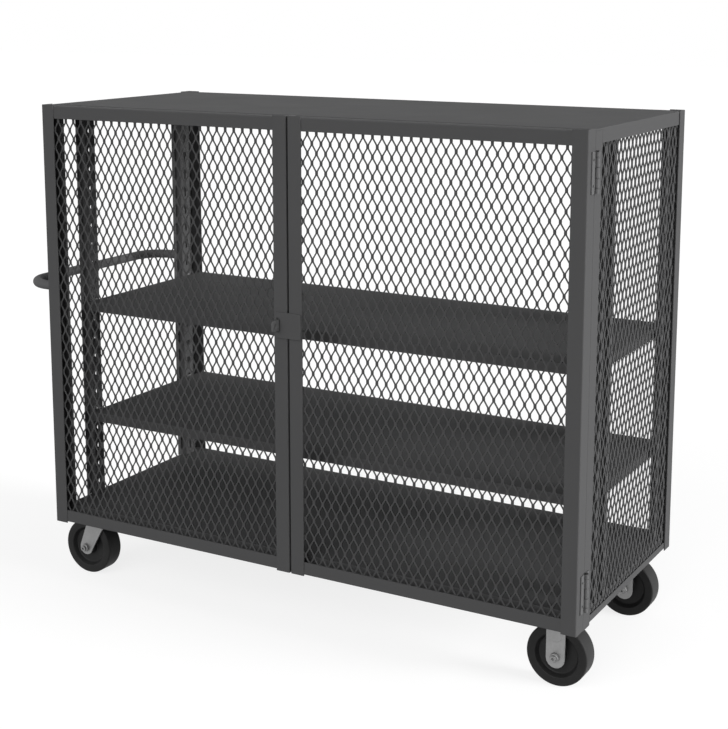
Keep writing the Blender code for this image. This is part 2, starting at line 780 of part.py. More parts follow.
def make_hinges(side, right, hinge):
    """Both hinges of one door, each a leaf on the post, a leaf on the door and a headed pin."""
    levels = (
        ("bottom", BOTTOM_HINGE_RISE), ("top", HEIGHT - TOP_HINGE_DROP - HINGE_HEIGHT))
    for level, low_z in levels:
        name = f"{side}_{level}_hinge"
        make_leaf(f"{name}_post_leaf", low_z, 1, 0, right, ROOT)
        make_leaf(f"{name}_door_leaf", low_z, -1, 1, right, hinge)
        head_low = low_z + HINGE_HEIGHT + GAP
        head_top = head_low + PIN_HEAD_T
        pin = [
            (0, head_top), (PIN_HEAD_R, head_top), (PIN_HEAD_R, head_low), (PIN_R, head_low),
            (PIN_R, low_z), (0, low_z)]
        x = WIDTH + AXIS_OUT if right else -AXIS_OUT
        turned(f"{name}_pin", pin, BORE_STEPS, GREY_COAT, ROOT, (x, AXIS_Y, 0))


def make_hasp(left_hinge, right_hinge):
    """The hasp plate of the right door and the padlock staple of the left door."""
    staple_x = door_width() - STAPLE_FROM_GAP
    left_edge = staple_x - SLOT_WIDTH / 2 - SLOT_FROM_EDGE
    right_edge = WIDTH - door_width() + STILE_FACE - HASP_INSET
    middle = ((left_edge + right_edge) / 2, HASP_Z)
    plate = rounded(right_edge - left_edge, HASP_HEIGHT, HASP_CORNER, BEND_STEPS, middle)
    slot = rounded(SLOT_WIDTH, SLOT_HEIGHT, HASP_CORNER, BEND_STEPS, (staple_x, HASP_Z))
    mesh = prism([plate, slot], -GAP - HASP_T, -GAP, ALONG_Y)
    add_part("hasp_plate", mesh, GREY_COAT, right_hinge)
    half = STAPLE_HEIGHT / 2
    tip = STAPLE_CORNER - STAPLE_REACH
    outline = [(-GAP, HASP_Z - half), (-GAP, HASP_Z + half)]
    outline += arc(tip, HASP_Z + half - STAPLE_CORNER, STAPLE_CORNER, 90, 180, BEND_STEPS)
    outline += arc(tip, HASP_Z - half + STAPLE_CORNER, STAPLE_CORNER, 180, 270, BEND_STEPS)
    eye = arc(-STAPLE_HOLE_OUT, HASP_Z, STAPLE_HOLE_R, 0, 360, 2 * LEG_END_STEPS)[:-1]
    mesh = prism([outline, eye], staple_x - STAPLE_T / 2, staple_x + STAPLE_T / 2, ALONG_X)
    add_part("padlock_staple", mesh, GREY_COAT, left_hinge)


# Push handle

def make_handle():
    """A bent tube between the two posts of the left end."""
    back_y = DEPTH - REAR_POST_LEG / 2
    front_end = -GAP
    back_end = -ANGLE_T - 2 * GAP
    bend_x = HANDLE_BEND - HANDLE_OUT
    route = [(front_end, HANDLE_FRONT_Y)]
    route += arc(bend_x, HANDLE_FRONT_Y + HANDLE_BEND, HANDLE_BEND, 270, 180, HANDLE_BEND_STEPS)
    route += arc(bend_x, back_y - HANDLE_BEND, HANDLE_BEND, 180, 90, HANDLE_BEND_STEPS)
    route.append((back_end, back_y))
    curve = bpy.data.curves.new("handle", "CURVE")
    curve.dimensions = "3D"
    curve.bevel_depth = TUBE_R
    curve.bevel_resolution = TUBE_RESOLUTION
    curve.use_fill_caps = True
    spline = curve.splines.new("POLY")
    spline.points.add(len(route) - 1)
    for point, (x, y) in zip(spline.points, route):
        point.co = (x, y, HANDLE_Z, 1)
    add_part("push_handle", curve_to_mesh(curve), GREY_COAT)


# Casters

def plate_mesh(x, y, holes):
    """A caster's top plate, with any holes through it."""
    outline = rounded(PLATE_X, PLATE_Y, PLATE_CORNER, CORNER_STEPS, (x, y))
    return prism([outline] + holes, PLATE_BOTTOM, PLATE_TOP, ALONG_Z)


def swivel_leg(x):
    """A swivel fork's leg: wide at the crown, swept back to a round end at the axle."""
    axle_x = x - SWIVEL_LEAD
    top_high = x + LEG_TOP_WIDTH / 2
    top_low = x - LEG_TOP_WIDTH / 2
    lean = math.degrees(math.atan2(SWIVEL_LEAD, CROWN_BOTTOM - AXLE_Z)) / 2
    outline = [(top_high, CROWN_TOP - GAP), (top_low, CROWN_TOP - GAP)]
    outline += arc(axle_x, AXLE_Z, LEG_END_R, 180 - lean, 360 - lean, LEG_END_STEPS)
    hole = arc(axle_x, AXLE_Z, AXLE_R + AXLE_CLEARANCE, 0, 360, AXLE_STEPS)[:-1]
    return outline, hole


def rigid_leg(x):
    """A rigid bracket's leg: straight down from the plate to a round end at the axle."""
    radius = RIGID_LEG_WIDTH / 2
    outline = [(x + radius, PLATE_BOTTOM + GAP), (x - radius, PLATE_BOTTOM + GAP)]
    outline += arc(x, AXLE_Z - RIGID_LEG_PAST, radius, 180, 360, LEG_END_STEPS)
    hole = arc(x, AXLE_Z, AXLE_R + AXLE_CLEARANCE, 0, 360, AXLE_STEPS)[:-1]
    return outline, hole


def leg_pair(outlines, y):
    """Two like legs, one on each side of the wheel."""
    front = prism(outlines, y - LEG_OUTER, y - LEG_INNER, ALONG_Y)
    back = prism(outlines, y + LEG_INNER, y + LEG_OUTER, ALONG_Y)
    return gathered([front, back])


def make_swivel(side, y):
    """A swivel caster: plate, fork, kingpin, axle bolt and wheel."""
    x = CASTER_FROM_END
    swivel = pivot(f"{side}_swivel_axis", (x, y, CROWN_TOP), ROOT)
    pin_hole = arc(x, y, KINGPIN_R + KINGPIN_CLEARANCE, 0, 360, AXLE_STEPS)[:-1]
    plate = add_part(f"{side}_swivel_plate", plate_mesh(x, y, [pin_hole]), ZINC)
    race = prism(
        [arc(x, y, RACE_R, 0, 360, HEAD_STEPS)[:-1], pin_hole],
        RACE_BOTTOM, PLATE_BOTTOM + PLATE_T / 2, ALONG_Z)
    boolean(plate, race, "UNION")
    crown = prism(
        [arc(x, y, CROWN_R, 0, 360, HEAD_STEPS)[:-1], pin_hole], CROWN_BOTTOM, CROWN_TOP, ALONG_Z)
    fork = add_part(f"{side}_swivel_fork", crown, ZINC, swivel)
    boolean(fork, leg_pair(swivel_leg(x), y), "UNION")
    nut_top = CROWN_BOTTOM - GAP
    nut_low = nut_top - KINGPIN_NUT_T
    kingpin = [
        (0, PLATE_TOP - GAP), (KINGPIN_R, PLATE_TOP - GAP), (KINGPIN_R, nut_top),
        (KINGPIN_NUT_R, nut_top), (KINGPIN_NUT_R, nut_low), (0, nut_low)]
    turned(f"{side}_kingpin", kingpin, AXLE_STEPS, ZINC, ROOT, (x, y, 0))
    make_wheel(side, x - SWIVEL_LEAD, y, swivel)


def make_rigid(side, y):
    """A rigid caster: bracket, axle bolt and wheel."""
    x = WIDTH - CASTER_FROM_END
    bracket = add_part(f"{side}_rigid_bracket", plate_mesh(x, y, []), ZINC)
    boolean(bracket, leg_pair(rigid_leg(x), y), "UNION")
    pad_low = PLATE_BOTTOM - PAD_DROP + PAD_WIDTH / 2
    pad = [(x + PAD_WIDTH / 2, PLATE_BOTTOM), (x - PAD_WIDTH / 2, PLATE_BOTTOM)]
    pad += arc(x, pad_low, PAD_WIDTH / 2, 180, 360, LEG_END_STEPS)
    sunk = LEG_T / 2
    front = prism([pad], y - LEG_OUTER - PAD_T, y - LEG_OUTER + sunk, ALONG_Y)
    back = prism([pad], y + LEG_OUTER - sunk, y + LEG_OUTER + PAD_T, ALONG_Y)
    boolean(bracket, gathered([front, back]), "UNION")
    make_wheel(side, x, y, ROOT)


def wheel_profile():
    """Half of a wheel's section about its axle, from the outer tread down one side."""
    half = WHEEL_WIDTH / 2
    fillet_r = WHEEL_R - TREAD_FILLET
    side = arc(fillet_r, half - TREAD_FILLET, TREAD_FILLET, 0, 90, FILLET_STEPS)
    web = half - RECESS_DEPTH
    side += [(RIM_INNER_R, half), (RIM_INNER_R - RECESS_SLOPE, web), (HUB_R + RECESS_SLOPE, web)]
    side += [(HUB_R, half + HUB_PROUD), (AXLE_R + AXLE_CLEARANCE, half + HUB_PROUD)]
    below = [(radius, -height) for radius, height in side]
    return side[::-1] + below


def make_wheel(side, x, y, parent):
    """A wheel, and the bolt that carries it between the legs."""
    place = (x, y, AXLE_Z)
    axis = pivot(f"{side}_axle_axis", place, parent)
    turned(f"{side}_wheel", wheel_profile(), WHEEL_STEPS, PHENOLIC, axis, place, ALONG_Y)
    seat = LEG_OUTER + GAP
    head = seat + AXLE_HEAD_T
    end = head + AXLE_END_T
    axle = [
        (0, end - AXLE_RECESS_DEPTH), (AXLE_RECESS_R, end - AXLE_RECESS_DEPTH),
        (AXLE_RECESS_R, end), (AXLE_END_R, end), (AXLE_END_R, head), (AXLE_HEAD_R - PAD_T, head),
        (AXLE_HEAD_R, head - PAD_T), (AXLE_HEAD_R, seat), (AXLE_R, seat), (AXLE_R, -seat),
        (AXLE_HEAD_R, -seat), (AXLE_HEAD_R, PAD_T - head), (AXLE_HEAD_R - PAD_T, -head), (0, -head)]
    turned(f"{side}_axle_bolt", axle, AXLE_STEPS, ZINC, parent, place, ALONG_Y)


# Assembly

def floor_centre():
    """How far the drawing's corner lies from the middle of the trolley's footprint."""
    left = -HANDLE_OUT - TUBE_R
    right = WIDTH + AXIS_OUT + KNUCKLE_R
    front = -STAPLE_REACH
    return Vector((-(left + right) / 2, -(front + DEPTH) / 2, GROUND))


def build():
    """Make every piece."""
    make_posts()
    make_roof()
    make_deck()
    make_side_sill()
    make_channels()
    make_side_mesh()
    make_uprights()
    make_shelves()
    make_clips()
    left_hinge = pivot("left_hinge_axis", (-AXIS_OUT, AXIS_Y, 0), ROOT)
    right_hinge = pivot("right_hinge_axis", (WIDTH + AXIS_OUT, AXIS_Y, 0), ROOT)
    for side, right, hinge in (("left", False, left_hinge), ("right", True, right_hinge)):
        make_door(side, right, hinge)
        make_hinges(side, right, hinge)
    make_hasp(left_hinge, right_hinge)
    make_handle()
    make_swivel("front_left", CASTER_YS[0])
    make_swivel("rear_left", CASTER_YS[1])
    make_rigid("front_right", CASTER_YS[0])
    make_rigid("rear_right", CASTER_YS[1])


clear_scene()
PARTS = new_collection("mesh_shelf_trolley")
CUTTERS = new_collection("cutters")
ROOT = bpy.data.objects.new("trolley_corner", None)
PARTS.objects.link(ROOT)
ROOT.location = floor_centre()
build()
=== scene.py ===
"""Mesh shelf trolley: its looks, made around the packed CAD frame.

The file is laid out as an add-on: property groups hold the sizes and colours, one
operator makes each group of pieces, and a panel lists them. It is run as a script:
main() registers the classes and calls the operators in order. Lengths are in metres.
"""

import math

import bmesh
import bpy
import numpy as np
from bpy.props import FloatProperty, FloatVectorProperty, IntProperty, PointerProperty
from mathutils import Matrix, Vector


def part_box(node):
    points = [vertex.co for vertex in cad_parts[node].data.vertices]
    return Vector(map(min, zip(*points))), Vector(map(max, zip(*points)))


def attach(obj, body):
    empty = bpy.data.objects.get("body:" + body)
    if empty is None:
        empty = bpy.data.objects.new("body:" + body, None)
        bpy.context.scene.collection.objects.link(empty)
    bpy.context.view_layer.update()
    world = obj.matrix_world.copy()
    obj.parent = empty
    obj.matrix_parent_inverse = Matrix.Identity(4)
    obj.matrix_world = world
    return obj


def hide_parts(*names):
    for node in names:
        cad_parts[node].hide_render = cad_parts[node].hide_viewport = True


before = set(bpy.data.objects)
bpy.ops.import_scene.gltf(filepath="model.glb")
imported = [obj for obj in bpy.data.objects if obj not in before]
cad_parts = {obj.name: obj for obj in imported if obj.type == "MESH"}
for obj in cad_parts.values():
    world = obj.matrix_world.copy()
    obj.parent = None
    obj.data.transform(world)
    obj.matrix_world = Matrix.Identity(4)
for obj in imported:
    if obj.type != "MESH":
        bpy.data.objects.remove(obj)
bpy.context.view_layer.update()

bl_info = {
    "name": "Mesh Shelf Trolley",
    "version": (1, 0, 0),
    "blender": (4, 5, 0),
    "location": "3D View > Sidebar > Trolley",
    "description": "Expanded mesh, wheels, handle, fasteners and finishes for a mesh shelf trolley",
    "category": "Object",
}

MICRON = 1e-6

# The photograph's frame, the focal length and the row that the camera's axis meets, in
# pixels, and the width of the camera's sensor in millimetres
WIDTH, HEIGHT = 728, 729
FOCAL, AXIS_ROW = 1474.8, 250
SENSOR = 36.0

# Edges sharper than these stay sharp on turned pieces, stay sharp on weld beads, get a bevel
SMOOTH_ANGLE = math.radians(32)
BEAD_ANGLE = math.radians(60)
BEVEL_ANGLE = math.radians(40)

# Finishes: three of them are the record's material slots
COAT = "grey_powder_coat"
HARDWARE = "hardware_coat"
NET = "net_coat"
# The pins' finish is darkened as painted shade for the gaps between the hinges' knuckles
PIN_SHADE = "pin_shade_coat"
BOLT = "bolt_zinc"
ZINC = "zinc_plate"
RESIN = "black_phenolic"

# Sockets of the node groups, and the attribute that marks the wheels' rolling faces
VECTOR, VALUE, COLOUR = "NodeSocketVector", "NodeSocketFloat", "NodeSocketColor"
TREAD = "tread"

# Tones over a finish's own colour, and changes of roughness
RUBBED_TONE, BRIGHT_TONE, FLECK_TONE = 2.0, 1.35, 3.0
RUBBED_SMOOTHER, TREAD_ROUGHER = 0.15, 0.15
FLECKS_PER_METRE = 900.0
WHITE = (1.0, 1.0, 1.0, 1.0)

# Ranges of tone: specks of the powder coat, crystals of the plating, scuffs of the tread
SPECK_TONES, CRYSTAL_TONES, SCUFF_RANGE = (0.93, 1.07), (0.96, 1.04), (0.75, 1.0)

# A bolt head's chamfer: its height over the head's, and its reach over its height. The
# dish in the head: its radius over the head's, and its depth over the chamfer's
CHAMFER, CHAMFER_REACH, DISH, DISH_DEPTH = 0.18, 1.7, 0.55, 0.3

# A screw head's edge over its radius, and its shoulder and its socket's floor over its height
SCREW_EDGE, SCREW_SHOULDER, SOCKET_FLOOR = 0.85, 0.7, 0.3

# Ends of the CAD nodes' names whose finish isn't their slot's plain one
SPECIAL_FINISHES = {"_leaf": HARDWARE, "padlock_staple": HARDWARE, "_pin": PIN_SHADE, "_bolt": BOLT}

# Body and place of a joint for each sheet of expanded metal
MESH_SHEETS = {
    "left_door_mesh": ("left_door", "left_joint"),
    "right_door_mesh": ("right_door", "right_joint"),
    "right_side_mesh": ("frame", "end_joint"),
}
WHEELS = ("front_left_wheel", "rear_left_wheel", "front_right_wheel", "rear_right_wheel")
CASTER_PLATES = {
    "front_left": "front_left_swivel_plate",
    "rear_left": "rear_left_swivel_plate",
    "front_right": "front_right_rigid_bracket",
    "rear_right": "rear_right_rigid_bracket",
}


# Meshes

def grid_faces(rows, columns, wrap=False):
    """Four corners of each cell of a grid of points. The last column is joined to the
    first, and the last row too where it wraps. Point (i, j) is number i * columns + j."""
    i, j = np.meshgrid(np.arange(rows if wrap else rows - 1), np.arange(columns), indexing="ij")
    i, j = i.ravel(), j.ravel()
    low, high = i * columns, (i + 1) % rows * columns
    on = (j + 1) % columns
    return np.stack([low + j, low + on, high + on, high + j], axis=1)


def put_mesh(name, points, faces, closed=True):
    """A new object from arrays of points and faces. Points at one place are merged, which
    also closes the poles, and the faces of a closed shape are turned outwards."""
    mesh = bpy.data.meshes.new(name)
    mesh.from_pydata(points.reshape(-1, 3).tolist(), [], faces.tolist())
    bm = bmesh.new()
    bm.from_mesh(mesh)
    bmesh.ops.remove_doubles(bm, verts=bm.verts, dist=5 * MICRON)
    if closed:
        bmesh.ops.recalc_face_normals(bm, faces=bm.faces)
    bm.to_mesh(mesh)
    bm.free()
    piece = bpy.data.objects.new(name, mesh)
    bpy.context.scene.collection.objects.link(piece)
    return piece


def smooth(piece, angle=SMOOTH_ANGLE):
    """Smooth shading, with edges sharper than the angle left sharp."""
    piece.data.shade_smooth()
    piece.data.set_sharp_from_angle(angle=angle)


def revolved(profile, centre, axis, across, steps, limit=None, wrap=False):
    """Points and faces of a turned shape: centre + axis * height + radius * (cos t * across
    + sin t * the third direction). A limit caps the radius at each angle t."""
    profile = np.asarray(profile, float)
    axis, across = np.asarray(axis, float), np.asarray(across, float)
    third = np.cross(axis, across)
    t = np.linspace(0, 2 * math.pi, steps, endpoint=False)
    radius = np.repeat(profile[:, :1], steps, axis=1)
    if limit is not None:
        radius = np.minimum(radius, limit(t)[None, :])
    ring = np.cos(t)[:, None] * across + np.sin(t)[:, None] * third
    points = (
        np.asarray(centre)
        + profile[:, 1][:, None, None] * axis
        + radius[:, :, None] * ring[None]
    )
    return points, grid_faces(len(profile), steps, wrap)


def hexagon(flat):
    """How far a hexagon reaches at angle t, its flats at the given distance: the flat over
    the cosine of the angle to the nearest flat's middle."""
    sixth = math.pi / 3
    return lambda t: flat / np.cos((t + sixth / 2) % sixth - sixth / 2)


def arc_points(centre, radius, start, end, steps):
    """Points on an arc in a plane: centre + radius * (cos t, sin t), t from start to end."""
    t = np.radians(np.linspace(start, end, steps + 1))
    return np.stack([centre[0] + radius * np.cos(t), centre[1] + radius * np.sin(t)], axis=1)


def joined(shapes):
    """Several arrays of points and faces as one, the faces' numbers moved on."""
    points = [p.reshape(-1, 3) for p, _ in shapes]
    starts = np.cumsum([0] + [len(p) for p in points[:-1]])
    return np.concatenate(points), np.concatenate([f + s for (_, f), s in zip(shapes, starts)])


# Shader nodes

def wired(tree, made, inputs):
    """A node with its inputs set: a number or colour is set on the socket, an output of
    another node is linked to it."""
    for key, value in inputs.items():
        if isinstance(value, bpy.types.NodeSocket):
            tree.links.new(value, made.inputs[key])
        else:
            made.inputs[key].default_value = value
    return made


def node(tree, kind, inputs, **settings):
    """A new node with its settings and its inputs."""
    made = tree.nodes.new(kind)
    for key, value in settings.items():
        setattr(made, key, value)
    return wired(tree, made, inputs)


def sums(tree, operation, a, b=0.0, c=0.0, clamp=False):
    """Output of a Math node."""
    inputs = {0: a, 1: b, 2: c}
    return node(tree, "ShaderNodeMath", inputs, operation=operation, use_clamp=clamp).outputs[0]


def vectors(tree, operation, inputs):
    """Output of a Vector Math node."""
    return node(tree, "ShaderNodeVectorMath", inputs, operation=operation).outputs[0]


def blended(tree, factor, a, b):
    """Output of a colour Mix node."""
    return node(tree, "ShaderNodeMix", {0: factor, 6: a, 7: b}, data_type="RGBA").outputs[2]


def between(tree, value, low, high, to_low=0.0, to_high=1.0):
    """Output of a Map Range node, clamped."""
    inputs = {
        "Value": value, "From Min": low, "From Max": high, "To Min": to_low, "To Max": to_high}
    return node(tree, "ShaderNodeMapRange", inputs).outputs[0]


def noise(tree, position, scale, detail, **more):
    """Output of a noise texture."""
    inputs = {"Vector": position, "Scale": scale, "Detail": detail, **more}
    return node(tree, "ShaderNodeTexNoise", inputs).outputs[0]


def shader_group(name, takes, gives):
    """An empty node group with the named sockets, what it is given and its output node."""
    tree = bpy.data.node_groups.new(name, "ShaderNodeTree")
    for label, kind, default in takes:
        socket = tree.interface.new_socket(name=label, in_out="INPUT", socket_type=kind)
        if default is not None:
            socket.default_value = default
    for label, kind in gives:
        tree.interface.new_socket(name=label, in_out="OUTPUT", socket_type=kind)
    return tree, tree.nodes.new("NodeGroupInput").outputs, tree.nodes.new("NodeGroupOutput")


def sprayed_grain():
    """Group: the fine texture of a sprayed or moulded skin. Two noises, one at the grain's
    size and one four times it, are added to a height, and the fine one's tops to a tone."""
    tree, given, out = shader_group(
        "Sprayed grain",
        (("Position", VECTOR, None), ("Grain", VALUE, 0.001)),
        (("Height", VALUE), ("Tone", VALUE)),
    )
    scale = sums(tree, "DIVIDE", 1.0, given["Grain"])
    fine = noise(tree, given["Position"], scale, 2.0, Roughness=0.6)
    wide = noise(tree, given["Position"], sums(tree, "MULTIPLY", scale, 0.25), 1.0)
    wired(tree, out, {
        "Height": sums(tree, "MULTIPLY_ADD", wide, 0.6, fine),
        "Tone": between(tree, fine, 0.35, 0.65)})
    return tree


def slow_patches():
    """Group: slow changes over a surface. A noise of the patch's size lightens and darkens
    the colour by the amount, and comes out as a value for the roughness too."""
    tree, given, out = shader_group(
        "Slow patches",
        (
            ("Position", VECTOR, None),
            ("Patch", VALUE, 0.2),
            ("Colour", COLOUR, (0.5, 0.5, 0.5, 1.0)),
            ("Amount", VALUE, 0.1),
        ),
        (("Colour", COLOUR), ("Value", VALUE)),
    )
    scale = sums(tree, "DIVIDE", 1.0, given["Patch"])
    cloud = noise(tree, given["Position"], scale, 4.0, Roughness=0.55, Distortion=0.4)
    value = between(tree, cloud, 0.3, 0.7)
    swing = sums(tree, "MULTIPLY", sums(tree, "SUBTRACT", value, 0.5), given["Amount"])
    gain = sums(tree, "ADD", swing, 1.0)
    wired(tree, out, {
        "Colour": vectors(tree, "SCALE", {0: given["Colour"], "Scale": gain}), "Value": value})
    return tree


def handling_marks():
    """Group: short thin rubs. Noise stretched along one direction is cut off near its top,
    and a slow noise lets the marks show in some places only."""
    tree, given, out = shader_group(
        "Handling marks",
        (
            ("Position", VECTOR, None),
            ("Stretch", VECTOR, (60.0, 60.0, 900.0)),
            ("Share", VALUE, 0.2),
        ),
        (("Mask", VALUE),),
    )
    stretched = vectors(tree, "MULTIPLY", {0: given["Position"], 1: given["Stretch"]})
    thin = between(tree, noise(tree, stretched, 1.0, 2.0, Distortion=0.6), 0.66, 0.74)
    here = between(tree, noise(tree, given["Position"], 9.0, 3.0), 0.5, 0.68)
    marks = sums(tree, "MULTIPLY", here, thin)
    wired(tree, out, {"Mask": sums(tree, "MULTIPLY", marks, given["Share"], clamp=True)})
    return tree


def rolled_sheet():
    """Group: the look of rolled and plated steel. Long fine lines along one direction, and
    crystals of the plating from a cell texture, as a height and as a tone."""
    tree, given, out = shader_group(
        "Rolled sheet",
        (
            ("Position", VECTOR, None),
            ("Lines", VECTOR, (900.0, 900.0, 30.0)),
            ("Crystal", VALUE, 0.006),
        ),
        (("Height", VALUE), ("Tone", VALUE)),
    )
    stretched = vectors(tree, "MULTIPLY", {0: given["Position"], 1: given["Lines"]})
    lines = noise(tree, stretched, 1.0, 3.0)
    scale = sums(tree, "DIVIDE", 1.0, given["Crystal"])
    cells = node(tree, "ShaderNodeTexVoronoi", {"Vector": given["Position"], "Scale": scale})
    grey = node(tree, "ShaderNodeSeparateColor", {0: cells.outputs["Color"]}).outputs[0]
    half = sums(tree, "MULTIPLY", lines, 0.5)
    wired(tree, out, {"Height": lines, "Tone": sums(tree, "MULTIPLY_ADD", grey, 0.5, half)})
    return tree


GROUP_MAKERS = {
    "Sprayed grain": sprayed_grain,
    "Slow patches": slow_patches,
    "Handling marks": handling_marks,
    "Rolled sheet": rolled_sheet,
}


def placed_group(tree, name, inputs):
    """The outputs of one of the shared groups, which is made the first time."""
    shared = bpy.data.node_groups.get(name) or GROUP_MAKERS[name]()
    made = tree.nodes.new("ShaderNodeGroup")
    made.node_tree = shared
    return wired(tree, made, inputs).outputs


def new_material(name):
    """An empty material, its tree, the Object coordinates and its main shader."""
    material = bpy.data.materials.new(name)
    material.use_nodes = True
    tree = material.node_tree
    tree.nodes.clear()
    shader = tree.nodes.new("ShaderNodeBsdfPrincipled")
    node(tree, "ShaderNodeOutputMaterial", {"Surface": shader.outputs[0]})
    position = tree.nodes.new("ShaderNodeTexCoord").outputs["Object"]
    return material, tree, position, shader


def finish_shader(tree, shader, colour, roughness, height, depth):
    """Links the colour and roughness, and the height through a Bump node."""
    bump = node(tree, "ShaderNodeBump", {"Height": height, "Distance": depth, "Strength": 1.0})
    wired(tree, shader, {
        "Base Color": colour, "Roughness": roughness, "Normal": bump.outputs[0]})


def toned(colour, tone=1.0):
    """A colour times a tone, with its alpha."""
    return (*(tone * part for part in colour), 1.0)


def powder_coat(colours, tone=1.0, gloss=1.0):
    """Fine-textured grey powder coat: sprayed grain, slow patches and a few rubs. Tone and
    gloss are set against the plain coat's."""
    material, tree, position, shader = new_material("Grey powder coat")
    patches = placed_group(tree, "Slow patches", {
        "Position": position, "Patch": colours.coat_patch,
        "Colour": toned(colours.coat, tone), "Amount": colours.coat_mottle})
    grain = placed_group(tree, "Sprayed grain", {"Position": position, "Grain": colours.coat_grain})
    marks = placed_group(tree, "Handling marks", {"Position": position, "Share": colours.coat_rubs})
    speck = between(tree, grain["Tone"], 0.0, 1.0, *SPECK_TONES)
    flecked = vectors(tree, "SCALE", {0: patches["Colour"], "Scale": speck})
    rubbed = toned(colours.coat, RUBBED_TONE * tone)
    colour = blended(tree, marks["Mask"], flecked, rubbed)
    middle, swing = colours.coat_roughness, colours.coat_swing
    slow = between(tree, patches["Value"], 0.0, 1.0, middle - swing, middle + swing)
    smoothed = sums(tree, "MULTIPLY", marks["Mask"], RUBBED_SMOOTHER)
    roughness = sums(tree, "SUBTRACT", slow, smoothed, clamp=True)
    finish_shader(tree, shader, colour, roughness, grain["Height"], colours.coat_depth)
    shader.inputs["Specular IOR Level"].default_value = gloss * colours.coat_gloss
    return material


def hardware_coat(colours):
    """The same coat on the smooth tube, hinges and staple, lighter and glossier: on the hinges and
    staple a lighter paint, on the tube the lighter tone is a painted sheen.
    """
    return powder_coat(colours, colours.hardware_paint_and_sheen_tone, colours.hardware_gloss)


def net_coat(colours):
    """The coat on the expanded metal, a little darker than the frame's."""
    return powder_coat(colours, colours.net_tone)


def pin_shade_coat(colours):
    """The hinge pins' coat, darkened as painted shade for the gaps between the hinges' knuckles."""
    return powder_coat(colours, colours.pin_shade_tone, colours.hardware_gloss)


def plating(colours, tone, metal):
    """Zinc plating on rolled steel: crystals, rolling lines, slow stains and a few rubs."""
    material, tree, position, shader = new_material("Zinc plate")
    sheet = placed_group(tree, "Rolled sheet", {"Position": position})
    patches = placed_group(tree, "Slow patches", {
        "Position": position, "Patch": colours.zinc_patch,
        "Colour": toned(colours.zinc, tone), "Amount": colours.zinc_stains})
    marks = placed_group(tree, "Handling marks", {"Position": position, "Share": colours.zinc_rubs})
    gain = between(tree, sheet["Tone"], 0.2, 0.8, *CRYSTAL_TONES)
    plated = vectors(tree, "SCALE", {0: patches["Colour"], "Scale": gain})
    bright = toned(colours.zinc, BRIGHT_TONE * tone)
    colour = blended(tree, marks["Mask"], plated, bright)
    middle, swing = colours.zinc_roughness, colours.zinc_swing
    roughness = between(tree, patches["Value"], 0.0, 1.0, middle - swing, middle + swing)
    finish_shader(tree, shader, colour, roughness, sheet["Height"], colours.zinc_depth)
    shader.inputs["Metallic"].default_value = metal
    return material


def zinc_plate(colours):
    """Dull zinc plating of the casters' plates, forks and brackets and the shelf clips."""
    return plating(colours, 1.0, colours.zinc_metal)


def bolt_zinc(colours):
    """Harder zinc of the axle bolts and nuts: brighter in light and darker in shadow."""
    return plating(colours, colours.bolt_tone, colours.bolt_metal)


def phenolic_resin(colours):
    """Moulded black resin: fine grain with pale filler flecks, scuffed and duller where the
    wheel rolls, from the mesh's own tread attribute."""
    material, tree, position, shader = new_material("Black phenolic")
    patches = placed_group(tree, "Slow patches", {
        "Position": position, "Patch": colours.resin_patch,
        "Colour": toned(colours.resin), "Amount": colours.resin_mottle})
    grain = placed_group(tree, "Sprayed grain", {
        "Position": position, "Grain": colours.resin_grain})
    flecks = node(tree, "ShaderNodeTexVoronoi", {"Vector": position, "Scale": FLECKS_PER_METRE})
    fleck = between(tree, flecks.outputs["Distance"], 0.0, 0.12, 0.35, 0.0)
    colour = blended(tree, fleck, patches["Colour"], toned(colours.resin, FLECK_TONE))
    tread = node(tree, "ShaderNodeAttribute", {}, attribute_name=TREAD).outputs["Fac"]
    scuff = sums(tree, "MULTIPLY", tread, between(tree, grain["Tone"], 0.0, 1.0, *SCUFF_RANGE))
    worn = blended(tree, scuff, colour, toned(colours.tread))
    middle, swing = colours.resin_roughness, colours.resin_swing
    slow = between(tree, patches["Value"], 0.0, 1.0, middle - swing, middle + swing)
    duller = sums(tree, "MULTIPLY", tread, TREAD_ROUGHER)
    roughness = sums(tree, "ADD", slow, duller)
    finish_shader(tree, shader, worn, roughness, grain["Height"], colours.resin_depth)
    shader.inputs["Specular IOR Level"].default_value = colours.resin_gloss
    return material


MATERIAL_MAKERS = {
    COAT: powder_coat,
    HARDWARE: hardware_coat,
    NET: net_coat,
    PIN_SHADE: pin_shade_coat,
    BOLT: bolt_zinc,
    ZINC: zinc_plate,
    RESIN: phenolic_resin,
}


def dressed(piece, finish):
    """Gives a piece one of the finishes, which is made the first time."""
    name = "finish_" + finish
    material = bpy.data.materials.get(name)
    if material is None:
        material = MATERIAL_MAKERS[finish](bpy.context.scene.trolley_colours)
        material.name = name
    piece.data.materials.clear()
    piece.data.materials.append(material)


def mounted(piece, body, slot, replaced=None, finish=None):
    """Rides a new piece on its body, dresses it in the slot's finish or another one, and
    hides the CAD node that it replaces."""
    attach(piece, body)
    dressed(piece, finish or slot)
    if replaced:
        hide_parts(replaced)


# Pieces

